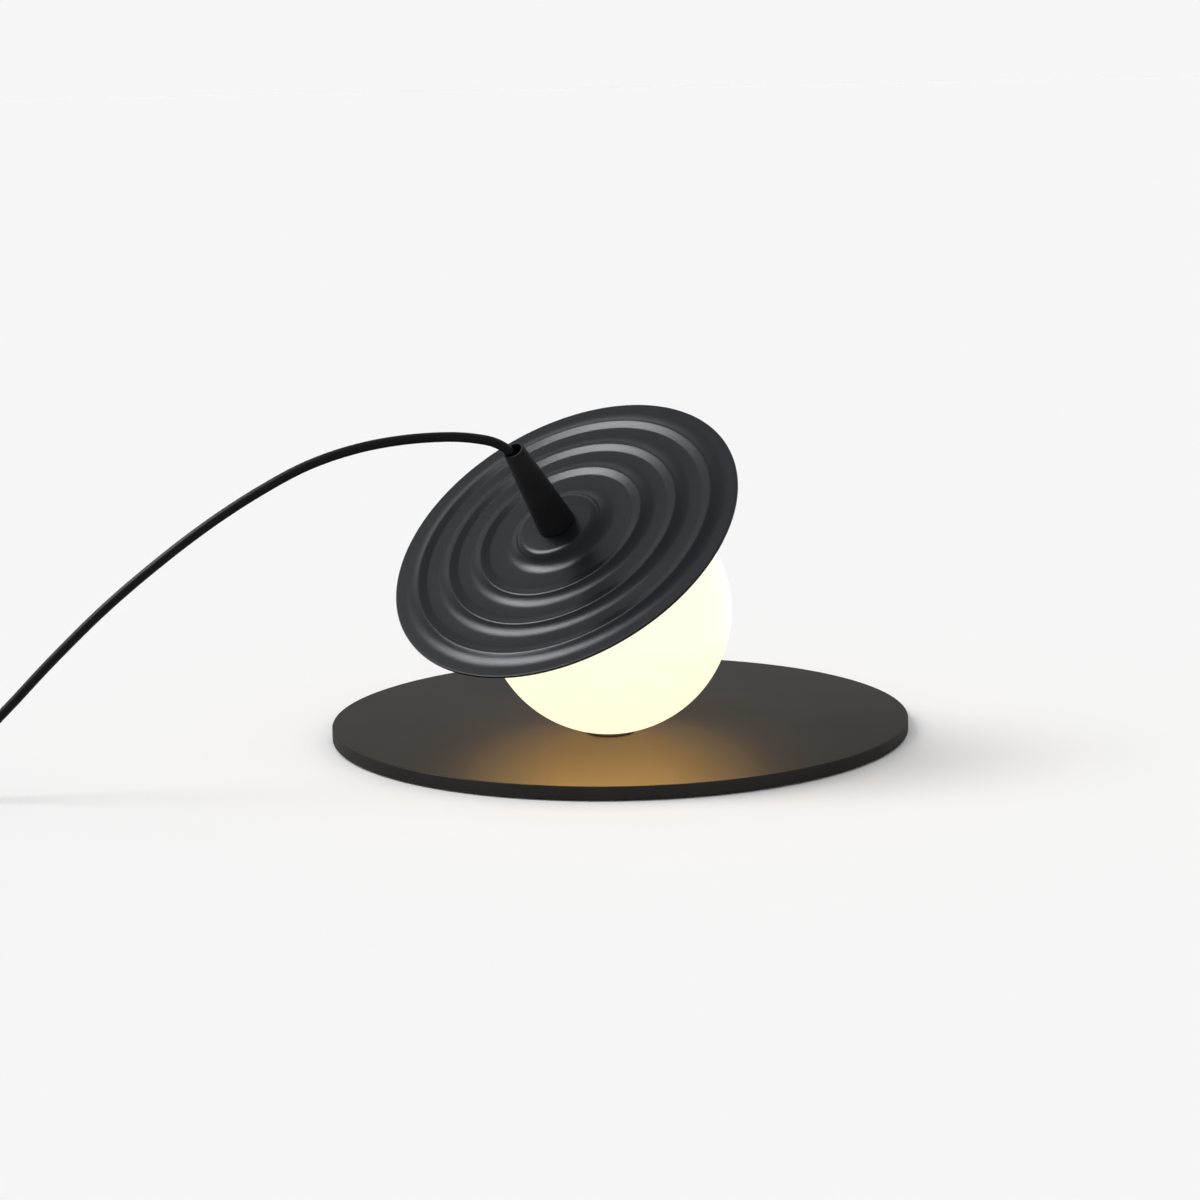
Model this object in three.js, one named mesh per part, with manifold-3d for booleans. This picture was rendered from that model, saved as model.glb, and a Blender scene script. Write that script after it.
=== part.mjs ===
// A table lamp: an opal glass globe stands on a thin round plate and wears a leaning, rippled disc,
// with a cone that lets the cord out at the top. Millimetres, +Z up, origin at the middle of the foot.
import * as THREE from "three";
import { mergeVertices } from "three/addons/utils/BufferGeometryUtils.js";
import Module from "manifold-3d";

const wasm = await Module();
wasm.setup();

// Fits and facets
const GAP = 0.3;
const OVERRUN = 1;
const DISC_FACETS = 60;
const GLOBE_FACETS = 40;
const BASE_FACETS = 72;
const RING_FACETS = 32;
const TURNED_FACETS = 20;
const SMALL_FACETS = 12;
const HEX_SIDES = 6;
const HALF = 1 / 2;

// Base plate and the pad under it
const BASE_DIAMETER = 300;
const PLATE_THICKNESS = 6.7;
const PLATE_ARRIS = 0.6;
const PAD_THICKNESS = 0.8;
const PAD_INSET = 3;

// Where the globe stands on the plate, and how the head leans
const GLOBE_RIGHT = -5.2;
const GLOBE_BACK = -35.4;
const LEAN_ANGLE = THREE.MathUtils.degToRad(38.4);
const LEAN_HEADING = THREE.MathUtils.degToRad(-128.2);

// Globe
const GLOBE_DIAMETER = 125;
const GLASS_WALL = 3;
const MOUTH_DIAMETER = 64.5;
const GLASS_HOLE_DIAMETER = 10;
const GLASS_ARC_STEPS = 15;

// Screw, seat and nut that hold the globe to the plate
const SCREW_DIAMETER = 6;
const SCREW_HEAD_DIAMETER = 11.6;
const SCREW_HEAD_HEIGHT = 2.5;
const SCREW_KEY_WIDTH = 4;
const SCREW_KEY_DEPTH = 1.5;
const SCREW_TAIL = 1.5;
const PAD_HOLE_DIAMETER = 15;
const SEAT_DIAMETER = 24;
const SEAT_DEPTH = 1.5;
const SEAT_PROUD = 0.7;
const BUSH_DIAMETER = 20;
const BUSH_THICKNESS = 2.4;
const CLAMP_WASHER_DIAMETER = 17;
const CLAMP_WASHER_THICKNESS = 1.6;
const LOCK_NUT_WIDTH = 10;
const LOCK_NUT_HEIGHT = 5;

// Rippled disc, with heights from the plane of its rim
const DISC_DIAMETER = 185;
const RIM_ABOVE_MOUTH = 4.85;
const RIM_THICKNESS = 1.4;
const RIM_EDGE = 0.3;
const RIM_EDGE_STEPS = 2;
const RIPPLES = 3;
const RIPPLE_PITCH = 17.9;
const FIRST_CREST_RADIUS = 43.7;
const FIRST_CREST_HEIGHT = 5.7;
const CREST_DROP = 1.35;
const RIPPLE_DEPTH = 2.6;
const FALL_ANGLE = THREE.MathUtils.degToRad(40);
const FALL_STEPS = 4;
const LAST_FALL_SHARE = 1.2;
const RISE_WIDTH = 4.9;
const BOSS_DIAMETER = 45;
const BOSS_HEIGHT = 10;
const BOSS_WALL = 3.5;
const BOSS_SHOULDER_WIDTH = 4.7;
const BOSS_SIDE_WIDTH = 1.2;
const BOSS_SHOULDER_STEPS = 4;
const UNDERSIDE_RISE = 2.2;
const HOLLOW_DIAMETER = 36;
const HOLLOW_FOOT_DIAMETER = 49;
const HOLLOW_FOOT_HEIGHT = 1.7;

// Collar bonded in the globe's mouth, its gasket, and the dish it locks on
const COLLAR_FLANGE_WIDTH = 6;
const COLLAR_THICKNESS = 1.5;
const COLLAR_SPIGOT_WALL = 1.8;
const COLLAR_SPIGOT_LENGTH = 5;
const GASKET_THICKNESS = 1;
const GASKET_SKIRT_WALL = 0.7;
const GASKET_SKIRT_LENGTH = 4;
const REGISTER_WIDTH = 5.5;
const TABS = 3;
const TAB_WIDTH = 12;
const TAB_REACH = 3;
const NOTCH_SLACK = 1;
const DISH_CROWN_DIAMETER = 34;
const DISH_FOOT_DIAMETER = 45;
const DISH_WALL = 1.5;

// Threaded tube up the middle, and what it carries
const TUBE_DIAMETER = 8;
const TUBE_BORE = 5.8;
const TUBE_TAIL = 1.4;
const TUBE_REACH = 22;
const TUBE_NUT_WIDTH = 13;
const TUBE_NUT_HEIGHT = 3;
const SPIGOT_DIAMETER = 14.8;
const SPIGOT_HEIGHT = 6;
const GRIP_DIAMETER = 11.2;
const GRIP_HEIGHT = 14;
const GRIP_CAP = 6;
const GRIP_SCREW_DIAMETER = 2.5;

// Cone
const CONE_BASE_DIAMETER = 19.2;
const CONE_TOP_DIAMETER = 10.8;
const CONE_HEIGHT = 50.9;
const CONE_WALL = 1.1;
const CONE_THREAD_DEPTH = 6.6;
const CONE_LIP = 0.35;

// Lampholder, its bracket and the lamp
const HOLDER_LENGTH = 26;
const HOLDER_WIDTH = 14;
const HOLDER_HEIGHT = 20;
const HOLDER_DROP = 6;
const HOLDER_PIN_SPACING = 9.5;
const HOLDER_PIN_HOLE = 2.4;
const HOLDER_PIN_DEPTH = 7;
const HOLDER_CORE_HOLE = 3;
const HOLDER_CORE_DEPTH = 4;
const BRACKET_WIDTH = 10;
const BRACKET_THICKNESS = 1.2;
const BRACKET_SCREW_HEIGHT = 7;
const BRACKET_LEG_SHORT = 3;
const HOLDER_SCREW_DIAMETER = 2.6;
const HOLDER_SCREW_HEAD_DIAMETER = 5;
const HOLDER_SCREW_HEAD_HEIGHT = 1.8;
const HOLDER_SCREW_LENGTH = 6;
const LAMP_DIAMETER = 16;
const LAMP_LENGTH = 36;
const LAMP_NOSE = 5;
const LAMP_NOSE_WIDTH_SHARE = 0.8;
const LAMP_NOSE_HEIGHT_SHARE = 0.35;
const LAMP_TIP_SHARE = 0.4;
const LAMP_PIN_DIAMETER = 1.2;
const LAMP_PIN_LENGTH = 9;
const LAMP_PIN_ROOT = 3;

// Cord
const CORD_DIAMETER = 4.8;
const CORD_SIDES = 8;
const CORE_DIAMETER = 2;
const CORE_SIDES = 6;
const CORE_SPREAD = 5;
const CORE_BEND_SHARE = 0.6;
const CORE_STEPS = 12;
const CORD_INTO_SWITCH = 5;

// Hand switch on the cord
const SWITCH_RIGHT = -383;
const SWITCH_BACK = -122;
const SWITCH_LENGTH = 62;
const SWITCH_WIDTH = 27;
const SWITCH_HEIGHT = 18;
const SWITCH_WALL = 1.6;
const SWITCH_CORNER = 8;
const SWITCH_BEVEL = 1.2;
const CORNER_STEPS = 3;
const CORD_HEIGHT_IN_SWITCH = 9;
const ROCKER_LENGTH = 19;
const ROCKER_WIDTH = 11;
const ROCKER_PROUD = 1.6;
const ROCKER_VALLEY = 1;
const ROCKER_DEPTH = 4.4;
const ROCKER_PIVOT_DEPTH = 4;
const ROCKER_PIN_DIAMETER = 2;
const ROCKER_THROW = 9;
const ROCKER_SLACK = 0.5;
const CHEEK_THICKNESS = 2.4;
const CHEEK_LENGTH = 6;
const TERMINAL_LENGTH = 9;
const TERMINAL_WIDTH = 8;
const TERMINAL_HEIGHT = 5;
const TERMINAL_SPACING = 22;
const SWITCH_SCREW_DIAMETER = 2.4;
const SWITCH_SCREW_HEAD_DIAMETER = 4.4;
const SWITCH_SCREW_HEAD_HEIGHT = 1.4;
const SWITCH_SCREW_LENGTH = 12;
const SWITCH_SCREW_INSET_X = 8;
const SWITCH_SCREW_INSET_Y = 5.4;
const SWITCH_BOSS_WALL = 1.4;

// Coil of spare cord and its tie
const COIL_RIGHT = -412;
const COIL_BACK = -58;
const COIL_MIDDLE_DIAMETER = 53;
const COIL_TURN_GAP = 0.7;
const COIL_TURNS_IN = 3;
const COIL_TURNS_OUT = 3.5;
const COIL_STEPS_PER_TURN = 24;
const COIL_SIDES = 6;
const TIE_THICKNESS = 0.8;
const TIE_WIDTH = 9;

// Plug
const PLUG_RIGHT = -450;
const PLUG_BACK = 24;
const PLUG_LENGTH = 36;
const PLUG_WIDTH = 35;
const PLUG_NECK_WIDTH = 15;
const PLUG_HEIGHT = 13.6;
const PLUG_BEVEL = 1.6;
const PLUG_SHOULDER_SHARE = 0.45;
const PLUG_NECK_SHARE = 0.25;
const PIN_DIAMETER = 4;
const PIN_NECK_DIAMETER = 2.2;
const PIN_SLEEVE_DIAMETER = 3.7;
const PIN_SLEEVE_LENGTH = 10;
const PIN_LENGTH = 19;
const PIN_SPACING = 18.6;
const PIN_ROOT = 7;
const PIN_TIP = 1;
const RELIEF_LENGTH = 22;
const RELIEF_ROOT_DIAMETER = 10;
const RELIEF_TIP_DIAMETER = 6.8;
const RELIEF_PEG_DIAMETER = 7;
const RELIEF_PEG_LENGTH = 4;
const RELIEF_COLLAR_LENGTH = 3;
const RELIEF_RIBS = 4;
const RELIEF_GROOVE = 0.8;

// Heights and radii that follow
const plateUnderside = PAD_THICKNESS;
const plateTop = PAD_THICKNESS + PLATE_THICKNESS;
const globeRadius = GLOBE_DIAMETER * HALF;
const glassRadius = globeRadius - GLASS_WALL;
const globeCentre = new THREE.Vector3(GLOBE_RIGHT, GLOBE_BACK, plateTop + GAP + globeRadius);
const mouthHeight = Math.sqrt(glassRadius ** 2 - (MOUTH_DIAMETER * HALF) ** 2);
const discHeight = mouthHeight + RIM_ABOVE_MOUTH;
const mouthPlane = -RIM_ABOVE_MOUTH;
const spigotOuter = MOUTH_DIAMETER * HALF - GASKET_SKIRT_WALL - 2 * GAP;
const spigotInner = spigotOuter - COLLAR_SPIGOT_WALL;
const collarRadius = spigotOuter + COLLAR_FLANGE_WIDTH;
const collarUnderside = mouthPlane + GAP + GASKET_THICKNESS + GAP;
const collarTop = collarUnderside + COLLAR_THICKNESS;
const bossUnderside = BOSS_HEIGHT - BOSS_WALL;
const dishTop = bossUnderside - GAP;
const dishRimTop = collarUnderside - GAP;
const bracketTop = dishTop - DISH_WALL - GAP;
const tubeNutTop = bracketTop - BRACKET_THICKNESS - GAP;
const tubeBottom = tubeNutTop - TUBE_NUT_HEIGHT - TUBE_TAIL;
const tubeTop = BOSS_HEIGHT + TUBE_REACH;
const spigotBottom = BOSS_HEIGHT + GAP;
const gripBottom = tubeTop + GAP + GRIP_CAP - GRIP_HEIGHT;
const gripTop = gripBottom + GRIP_HEIGHT;
const coneBottom = spigotBottom;
const coneTop = coneBottom + CONE_HEIGHT;
const holderTop = tubeBottom - HOLDER_DROP;
const holderBottom = holderTop - HOLDER_HEIGHT;
const lampTop = holderBottom - GAP;
const cordRadius = CORD_DIAMETER * HALF;
const cordStart = tubeTop + GAP;
const coilPitch = CORD_DIAMETER + COIL_TURN_GAP;
const coilLowHeight = TIE_THICKNESS + GAP + cordRadius;

// Materials
const finish = (color, roughness, metalness) =>
  new THREE.MeshStandardMaterial({ color, roughness, metalness });
const plateFinish = finish(0x3a3936, 0.42, 0.3);
const discFinish = finish(0x34363a, 0.55, 0.35);
const coneFinish = finish(0x161617, 0.6, 0.2);
const glassFinish = finish(0xfffbe8, 0.25, 0);
const rubberFinish = finish(0x1a1a1a, 0.85, 0);
const siliconeFinish = finish(0xd9d6cc, 0.7, 0);
const zincFinish = finish(0xb9bcc0, 0.35, 0.9);
const brassFinish = finish(0xc9a55a, 0.3, 0.9);
const ceramicFinish = finish(0xf1efe8, 0.6, 0);
const lampFinish = finish(0xfff6dc, 0.35, 0);
const plasticFinish = finish(0x18181a, 0.5, 0);
const cordFinish = finish(0x141415, 0.55, 0);
const liveFinish = finish(0x6a4226, 0.5, 0);
const neutralFinish = finish(0x2f5d9a, 0.5, 0);

// A closed geometry as a solid, with no slivers where a profile meets the axis.
function solid(geometry) {
  const flat = geometry.index ? geometry.toNonIndexed() : geometry;
  const bare = new THREE.BufferGeometry().setAttribute("position", flat.getAttribute("position"));
  const merged = mergeVertices(bare, GAP / 1000);
  const corners = merged.index.array;
  const kept = [];
  for (let i = 0; i < corners.length; i += 3) {
    const [a, b, c] = corners.slice(i, i + 3);
    if (a !== b && b !== c && c !== a) kept.push(a, b, c);
  }
  return new wasm.Manifold(
    new wasm.Mesh({
      numProp: 3,
      vertProperties: merged.attributes.position.array,
      triVerts: new Uint32Array(kept),
    }),
  );
}

function geometryOf(shape) {
  const mesh = shape.getMesh();
  return new THREE.BufferGeometry()
    .setAttribute("position", new THREE.BufferAttribute(mesh.vertProperties, mesh.numProp))
    .setIndex(new THREE.BufferAttribute(mesh.triVerts, 1));
}

const union = (...shapes) => shapes.reduce((whole, shape) => whole.add(shape));
const cut = (shape, ...tools) => tools.reduce((whole, tool) => whole.subtract(tool), shape);
const moved = (shape, x, y, z) => shape.translate([x, y, z]);

// A turned solid about +Z from its half outline of [radius, height] points.
function turned(outline, facets = TURNED_FACETS) {
  const points = outline.map(([radius, height]) => new THREE.Vector2(radius, height));
  const meetsAxis = points[0].x === 0 && points[points.length - 1].x === 0;
  const ring = meetsAxis ? points : [...points, points[0]];
  if (THREE.ShapeUtils.area(points) < 0) ring.reverse();
  return solid(new THREE.LatheGeometry(ring, facets).rotateX(Math.PI * HALF));
}

const rod = (radius, bottom, top, facets) =>
  turned([[0, bottom], [radius, bottom], [radius, top], [0, top]], facets);
const ringOf = (inner, outer, bottom, top, facets) =>
  turned([[inner, bottom], [outer, bottom], [outer, top], [inner, top]], facets);

// Points on a smooth curve that leaves one point and meets another along lines through a corner.
function curved(from, corner, to, steps) {
  return Array.from({ length: steps + 1 }, (_, i) => {
    const t = i / steps;
    return from.map((value, k) => {
      return value * (1 - t) ** 2 + corner[k] * 2 * t * (1 - t) + to[k] * t ** 2;
    });
  });
}

function arc(centreRadius, centreHeight, radius, from, to, steps) {
  return Array.from({ length: steps + 1 }, (_, i) => {
    const angle = from + ((to - from) * i) / steps;
    return [centreRadius + radius * Math.cos(angle), centreHeight + radius * Math.sin(angle)];
  });
}

function slab(outline, bottom, top, bevel = 0) {
  const shape = new THREE.Shape(outline.map(([x, y]) => new THREE.Vector2(x, y)));
  const settings = { depth: top - bottom - 2 * bevel, steps: 1, bevelEnabled: bevel > 0 };
  if (bevel > 0) {
    Object.assign(settings, { bevelSize: bevel, bevelThickness: bevel, bevelOffset: -bevel });
    settings.bevelSegments = 1;
  }
  return solid(new THREE.ExtrudeGeometry(shape, settings).translate(0, 0, bottom + bevel));
}

function box(length, width, bottom, top) {
  const x = length * HALF;
  const y = width * HALF;
  return slab([[-x, -y], [x, -y], [x, y], [-x, y]], bottom, top);
}

function roundedOutline(length, width, corner) {
  const corners = [[1, 1], [-1, 1], [-1, -1], [1, -1]];
  return corners.flatMap(([sx, sy], i) => {
    const middle = [sx * (length * HALF - corner), sy * (width * HALF - corner)];
    return arc(...middle, corner, i * Math.PI * HALF, (i + 1) * Math.PI * HALF, CORNER_STEPS);
  });
}

function hexPrism(width, bottom, top) {
  return rod((width * HALF) / Math.cos(Math.PI / HEX_SIDES), bottom, top, HEX_SIDES);
}

const lamp = new THREE.Group();
const head = new THREE.Group();
head.position.copy(globeCentre);
const leanDirection = new THREE.Vector3(
  Math.sin(LEAN_ANGLE) * Math.cos(LEAN_HEADING),
  Math.sin(LEAN_ANGLE) * Math.sin(LEAN_HEADING),
  Math.cos(LEAN_ANGLE),
);
head.quaternion.setFromUnitVectors(new THREE.Vector3(0, 0, 1), leanDirection);
const crown = new THREE.Group();
crown.position.z = discHeight;
head.add(crown);
lamp.add(head);

function place(group, name, shape, material) {
  const mesh = new THREE.Mesh(geometryOf(shape), material);
  mesh.name = name;
  group.add(mesh);
  return mesh;
}

// Base: steel plate over a soft pad, bored where the screw comes up
const foot = new THREE.Group();
foot.position.set(GLOBE_RIGHT, GLOBE_BACK, 0);
lamp.add(foot);
const screwHoleRadius = SCREW_DIAMETER * HALF + GAP;
const screwHeadRadius = SCREW_HEAD_DIAMETER * HALF;
const screwHeadBottom = plateUnderside + GAP;
const seatBottom = plateTop - SEAT_DEPTH;

function basePlate() {
  const radius = BASE_DIAMETER * HALF;
  const blank = turned(
    [
      [0, plateUnderside],
      [radius - PLATE_ARRIS, plateUnderside],
      [radius, plateUnderside + PLATE_ARRIS],
      [radius, plateTop - PLATE_ARRIS],
      [radius - PLATE_ARRIS, plateTop],
      [0, plateTop],
    ],
    BASE_FACETS,
  );
  const tool = turned([
    [0, plateUnderside - OVERRUN],
    [screwHeadRadius + GAP, plateUnderside - OVERRUN],
    [screwHeadRadius + GAP, screwHeadBottom],
    [screwHoleRadius, screwHeadBottom + SCREW_HEAD_HEIGHT],
    [screwHoleRadius, seatBottom],
    [SEAT_DIAMETER * HALF + GAP, seatBottom],
    [SEAT_DIAMETER * HALF + GAP, plateTop + OVERRUN],
    [0, plateTop + OVERRUN],
  ]);
  return cut(blank, moved(tool, GLOBE_RIGHT, GLOBE_BACK, 0));
}

function basePad() {
  const blank = rod(BASE_DIAMETER * HALF - PAD_INSET, 0, PAD_THICKNESS, BASE_FACETS);
  const hole = rod(PAD_HOLE_DIAMETER * HALF, -OVERRUN, PAD_THICKNESS + OVERRUN);
  return cut(blank, moved(hole, GLOBE_RIGHT, GLOBE_BACK, 0));
}

// Height of the glass above the middle of the foot, at a radius from the screw
const glassHeight = (radius, sphere) => globeCentre.z - Math.sqrt(sphere ** 2 - radius ** 2);
const bushTop = glassHeight(0, glassRadius - GAP) + BUSH_THICKNESS;
const washerBottom = bushTop + GAP;
const lockNutBottom = washerBottom + CLAMP_WASHER_THICKNESS + GAP;
const lockNutTop = lockNutBottom + LOCK_NUT_HEIGHT;

function seatRing() {
  const outer = SEAT_DIAMETER * HALF;
  const under = globeRadius + GAP;
  const top = plateTop + SEAT_PROUD;
  const lip = Math.sqrt(under ** 2 - (globeCentre.z - top) ** 2);
  return turned([
    [screwHoleRadius, seatBottom + GAP],
    [outer, seatBottom + GAP],
    [outer, top],
    [lip, top],
    [(lip + screwHoleRadius) * HALF, glassHeight((lip + screwHoleRadius) * HALF, under)],
    [screwHoleRadius, glassHeight(screwHoleRadius, under)],
  ]);
}

function fixingScrew() {
  const shank = SCREW_DIAMETER * HALF;
  const blank = turned([
    [0, screwHeadBottom],
    [screwHeadRadius, screwHeadBottom],
    [shank, screwHeadBottom + SCREW_HEAD_HEIGHT],
    [shank, lockNutTop + SCREW_TAIL],
    [0, lockNutTop + SCREW_TAIL],
  ]);
  return cut(blank, hexPrism(SCREW_KEY_WIDTH, screwHeadBottom - OVERRUN, screwHeadBottom + SCREW_KEY_DEPTH));
}

function glassBush() {
  const sleeve = GLASS_HOLE_DIAMETER * HALF - GAP;
  const flange = BUSH_DIAMETER * HALF;
  const above = glassRadius - GAP;
  const foot = glassHeight(0, globeRadius) + GAP * HALF;
  return turned([
    [screwHoleRadius, foot],
    [sleeve, foot],
    [sleeve, glassHeight(sleeve, above)],
    [flange, glassHeight(flange, above)],
    [flange, bushTop],
    [screwHoleRadius, bushTop],
  ]);
}

function lockNut() {
  const bore = rod(screwHoleRadius, lockNutBottom - OVERRUN, lockNutTop + OVERRUN);
  return cut(hexPrism(LOCK_NUT_WIDTH, lockNutBottom, lockNutTop), bore);
}

place(lamp, "base_plate", basePlate(), plateFinish);
place(lamp, "base_pad", basePad(), rubberFinish);
place(foot, "seat_ring", seatRing(), rubberFinish);
place(foot, "fixing_screw", fixingScrew(), zincFinish);
place(foot, "glass_bush", glassBush(), siliconeFinish);
place(
  foot,
  "clamp_washer",
  ringOf(
    screwHoleRadius,
    CLAMP_WASHER_DIAMETER * HALF,
    washerBottom,
    washerBottom + CLAMP_WASHER_THICKNESS,
  ),
  zincFinish,
);
place(foot, "lock_nut", lockNut(), zincFinish);

// Globe: a blown sphere, ground flat at its mouth and bored where the screw passes
function glassGlobe() {
  const outerStart = Math.asin(mouthHeight / globeRadius);
  const innerStart = Math.asin(mouthHeight / glassRadius);
  const shell = turned(
    [
      ...arc(0, 0, globeRadius, outerStart, -Math.PI * HALF, GLASS_ARC_STEPS).slice(0, -1),
      [0, -globeRadius],
      [0, -glassRadius],
      ...arc(0, 0, glassRadius, -Math.PI * HALF, innerStart, GLASS_ARC_STEPS).slice(1),
    ],
    GLOBE_FACETS,
  );
  const drill = rod(GLASS_HOLE_DIAMETER * HALF, -globeRadius - OVERRUN, 0);
  const upright = new THREE.Matrix4().makeRotationFromQuaternion(head.quaternion.clone().invert());
  return cut(shell, drill.transform(upright.elements));
}

place(head, "glass_globe", glassGlobe(), glassFinish);

// Rippled disc: crests step down from the boss to the rim, each with a steep outer fall that
// flattens into a dish, and a short rise up to the next crest
function rippledDisc() {
  const lip = RIM_THICKNESS * HALF;
  const edge = DISC_DIAMETER * HALF - RIM_EDGE;
  const corner = lip - RIM_EDGE;
  const rise = RIPPLE_DEPTH - CREST_DROP;
  const crests = Array.from({ length: RIPPLES }, (_, i) => [
    FIRST_CREST_RADIUS + i * RIPPLE_PITCH,
    FIRST_CREST_HEIGHT - i * CREST_DROP,
  ]);
  const bossRadius = BOSS_DIAMETER * HALF;
  const bossFoot = [bossRadius, FIRST_CREST_HEIGHT - rise + RIPPLE_DEPTH];
  const shoulder = curved(
    [bossRadius - BOSS_SHOULDER_WIDTH, BOSS_HEIGHT],
    [bossRadius - BOSS_SIDE_WIDTH, BOSS_HEIGHT],
    bossFoot,
    BOSS_SHOULDER_STEPS,
  );
  const top = [[TUBE_DIAMETER * HALF + GAP, BOSS_HEIGHT], ...shoulder.slice(0, -1)];
  [bossFoot, ...crests].forEach(([radius, height], i) => {
    const last = i === crests.length;
    const floor = last ? lip : crests[i][1] - rise;
    const bend = (height - floor) / (1 - Math.cos(FALL_ANGLE));
    const stretch = last ? LAST_FALL_SHARE : 1;
    const falling = arc(0, bend, bend, -Math.PI * HALF - FALL_ANGLE, -Math.PI * HALF, FALL_STEPS);
    falling.forEach(([across, up]) => {
      top.push([radius + stretch * (across + bend * Math.sin(FALL_ANGLE)), floor + up]);
    });
    if (!last) top.push([crests[i][0] - RISE_WIDTH, floor]);
  });
  const underside = -lip + UNDERSIDE_RISE;
  const registerTop = collarTop + GAP;
  const lower = [
    [collarRadius, underside],
    [collarRadius, registerTop],
    [collarRadius - REGISTER_WIDTH, registerTop],
    [collarRadius - REGISTER_WIDTH, HOLLOW_FOOT_HEIGHT],
    [HOLLOW_FOOT_DIAMETER * HALF, HOLLOW_FOOT_HEIGHT],
    [HOLLOW_DIAMETER * HALF, bossUnderside],
    [TUBE_DIAMETER * HALF + GAP, bossUnderside],
  ];
  return turned(
    [
      ...top,
      ...arc(edge, corner, RIM_EDGE, Math.PI * HALF, 0, RIM_EDGE_STEPS),
      ...arc(edge, -corner, RIM_EDGE, 0, -Math.PI * HALF, RIM_EDGE_STEPS),
      ...lower,
    ],
    DISC_FACETS,
  );
}

place(crown, "ripple_disc", rippledDisc(), discFinish);

// Collar with three tabs that turn on to the dish's rim
const dishRadius = spigotInner - GAP;

function aroundTabs(make) {
  return Array.from({ length: TABS }, (_, i) => make((360 * i) / TABS));
}

function globeCollar() {
  const ring = turned(
    [
      [spigotInner, collarTop],
      [spigotInner, collarUnderside - COLLAR_SPIGOT_LENGTH],
      [spigotOuter, collarUnderside - COLLAR_SPIGOT_LENGTH],
      [spigotOuter, collarUnderside],
      [collarRadius, collarUnderside],
      [collarRadius, collarTop],
    ],
    RING_FACETS,
  );
  const reach = TAB_REACH + COLLAR_SPIGOT_WALL;
  const tab = moved(box(reach, TAB_WIDTH, collarUnderside, collarTop), spigotOuter - reach * HALF, 0, 0);
  return union(ring, ...aroundTabs((turn) => tab.rotate([0, 0, turn])));
}

function mouthGasket() {
  const inner = spigotOuter + GAP;
  const bottom = mouthPlane + GAP;
  return turned(
    [
      [inner, bottom - GASKET_SKIRT_LENGTH],
      [inner + GASKET_SKIRT_WALL, bottom - GASKET_SKIRT_LENGTH],
      [inner + GASKET_SKIRT_WALL, bottom],
      [collarRadius, bottom],
      [collarRadius, bottom + GASKET_THICKNESS],
      [inner, bottom + GASKET_THICKNESS],
    ],
    RING_FACETS,
  );
}

function socketDish() {
  const crownRadius = DISH_CROWN_DIAMETER * HALF;
  const footRadius = DISH_FOOT_DIAMETER * HALF;
  const dish = turned(
    [
      [TUBE_DIAMETER * HALF + GAP, dishTop],
      [crownRadius, dishTop],
      [footRadius, dishRimTop],
      [dishRadius, dishRimTop],
      [dishRadius, dishRimTop - DISH_WALL],
      [footRadius - DISH_WALL, dishRimTop - DISH_WALL],
      [crownRadius - DISH_WALL, dishTop - DISH_WALL],
      [TUBE_DIAMETER * HALF + GAP, dishTop - DISH_WALL],
    ],
    RING_FACETS,
  );
  const notchDepth = TAB_REACH + NOTCH_SLACK;
  const bottom = dishRimTop - DISH_WALL - OVERRUN;
  const notch = box(notchDepth, TAB_WIDTH + 2 * NOTCH_SLACK, bottom, dishRimTop + OVERRUN);
  const out = moved(notch, dishRadius, 0, 0);
  return cut(dish, ...aroundTabs((turn) => out.rotate([0, 0, turn + 180 / TABS])));
}

place(crown, "globe_collar", globeCollar(), zincFinish);
place(crown, "mouth_gasket", mouthGasket(), siliconeFinish);
place(crown, "socket_dish", socketDish(), zincFinish);

// Threaded tube, its nut, the spigot that the cone screws on, and the cord grip
const tubeRadius = TUBE_DIAMETER * HALF;
const tubeHole = tubeRadius + GAP;
place(
  crown,
  "threaded_tube",
  ringOf(TUBE_BORE * HALF, tubeRadius, tubeBottom, tubeTop),
  zincFinish,
);
const tubeNutBottom = tubeNutTop - TUBE_NUT_HEIGHT;
place(
  crown,
  "tube_nut",
  cut(
    hexPrism(TUBE_NUT_WIDTH, tubeNutBottom, tubeNutTop),
    rod(tubeHole, tubeNutBottom - OVERRUN, tubeNutTop + OVERRUN),
  ),
  zincFinish,
);
place(
  crown,
  "cone_spigot",
  ringOf(tubeHole, SPIGOT_DIAMETER * HALF, spigotBottom, spigotBottom + SPIGOT_HEIGHT),
  zincFinish,
);

const gripScrewHeight = gripTop - GRIP_CAP * HALF;
const sideways = (shape, height) => moved(shape.rotate([0, 90, 0]), 0, 0, height);

function cordGrip() {
  const cordHole = cordRadius + GAP;
  const body = turned([
    [tubeHole, gripBottom],
    [GRIP_DIAMETER * HALF, gripBottom],
    [GRIP_DIAMETER * HALF, gripTop],
    [cordHole, gripTop],
    [cordHole, cordStart],
    [tubeHole, cordStart],
  ]);
  const screwHole = rod(GRIP_SCREW_DIAMETER * HALF + GAP, 0, GRIP_DIAMETER, SMALL_FACETS);
  return cut(body, sideways(screwHole, gripScrewHeight));
}

place(crown, "cord_grip", cordGrip(), plasticFinish);
place(
  crown,
  "grip_screw",
  sideways(
    rod(GRIP_SCREW_DIAMETER * HALF, cordRadius + GAP, GRIP_DIAMETER * HALF, SMALL_FACETS),
    gripScrewHeight,
  ),
  zincFinish,
);

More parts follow.
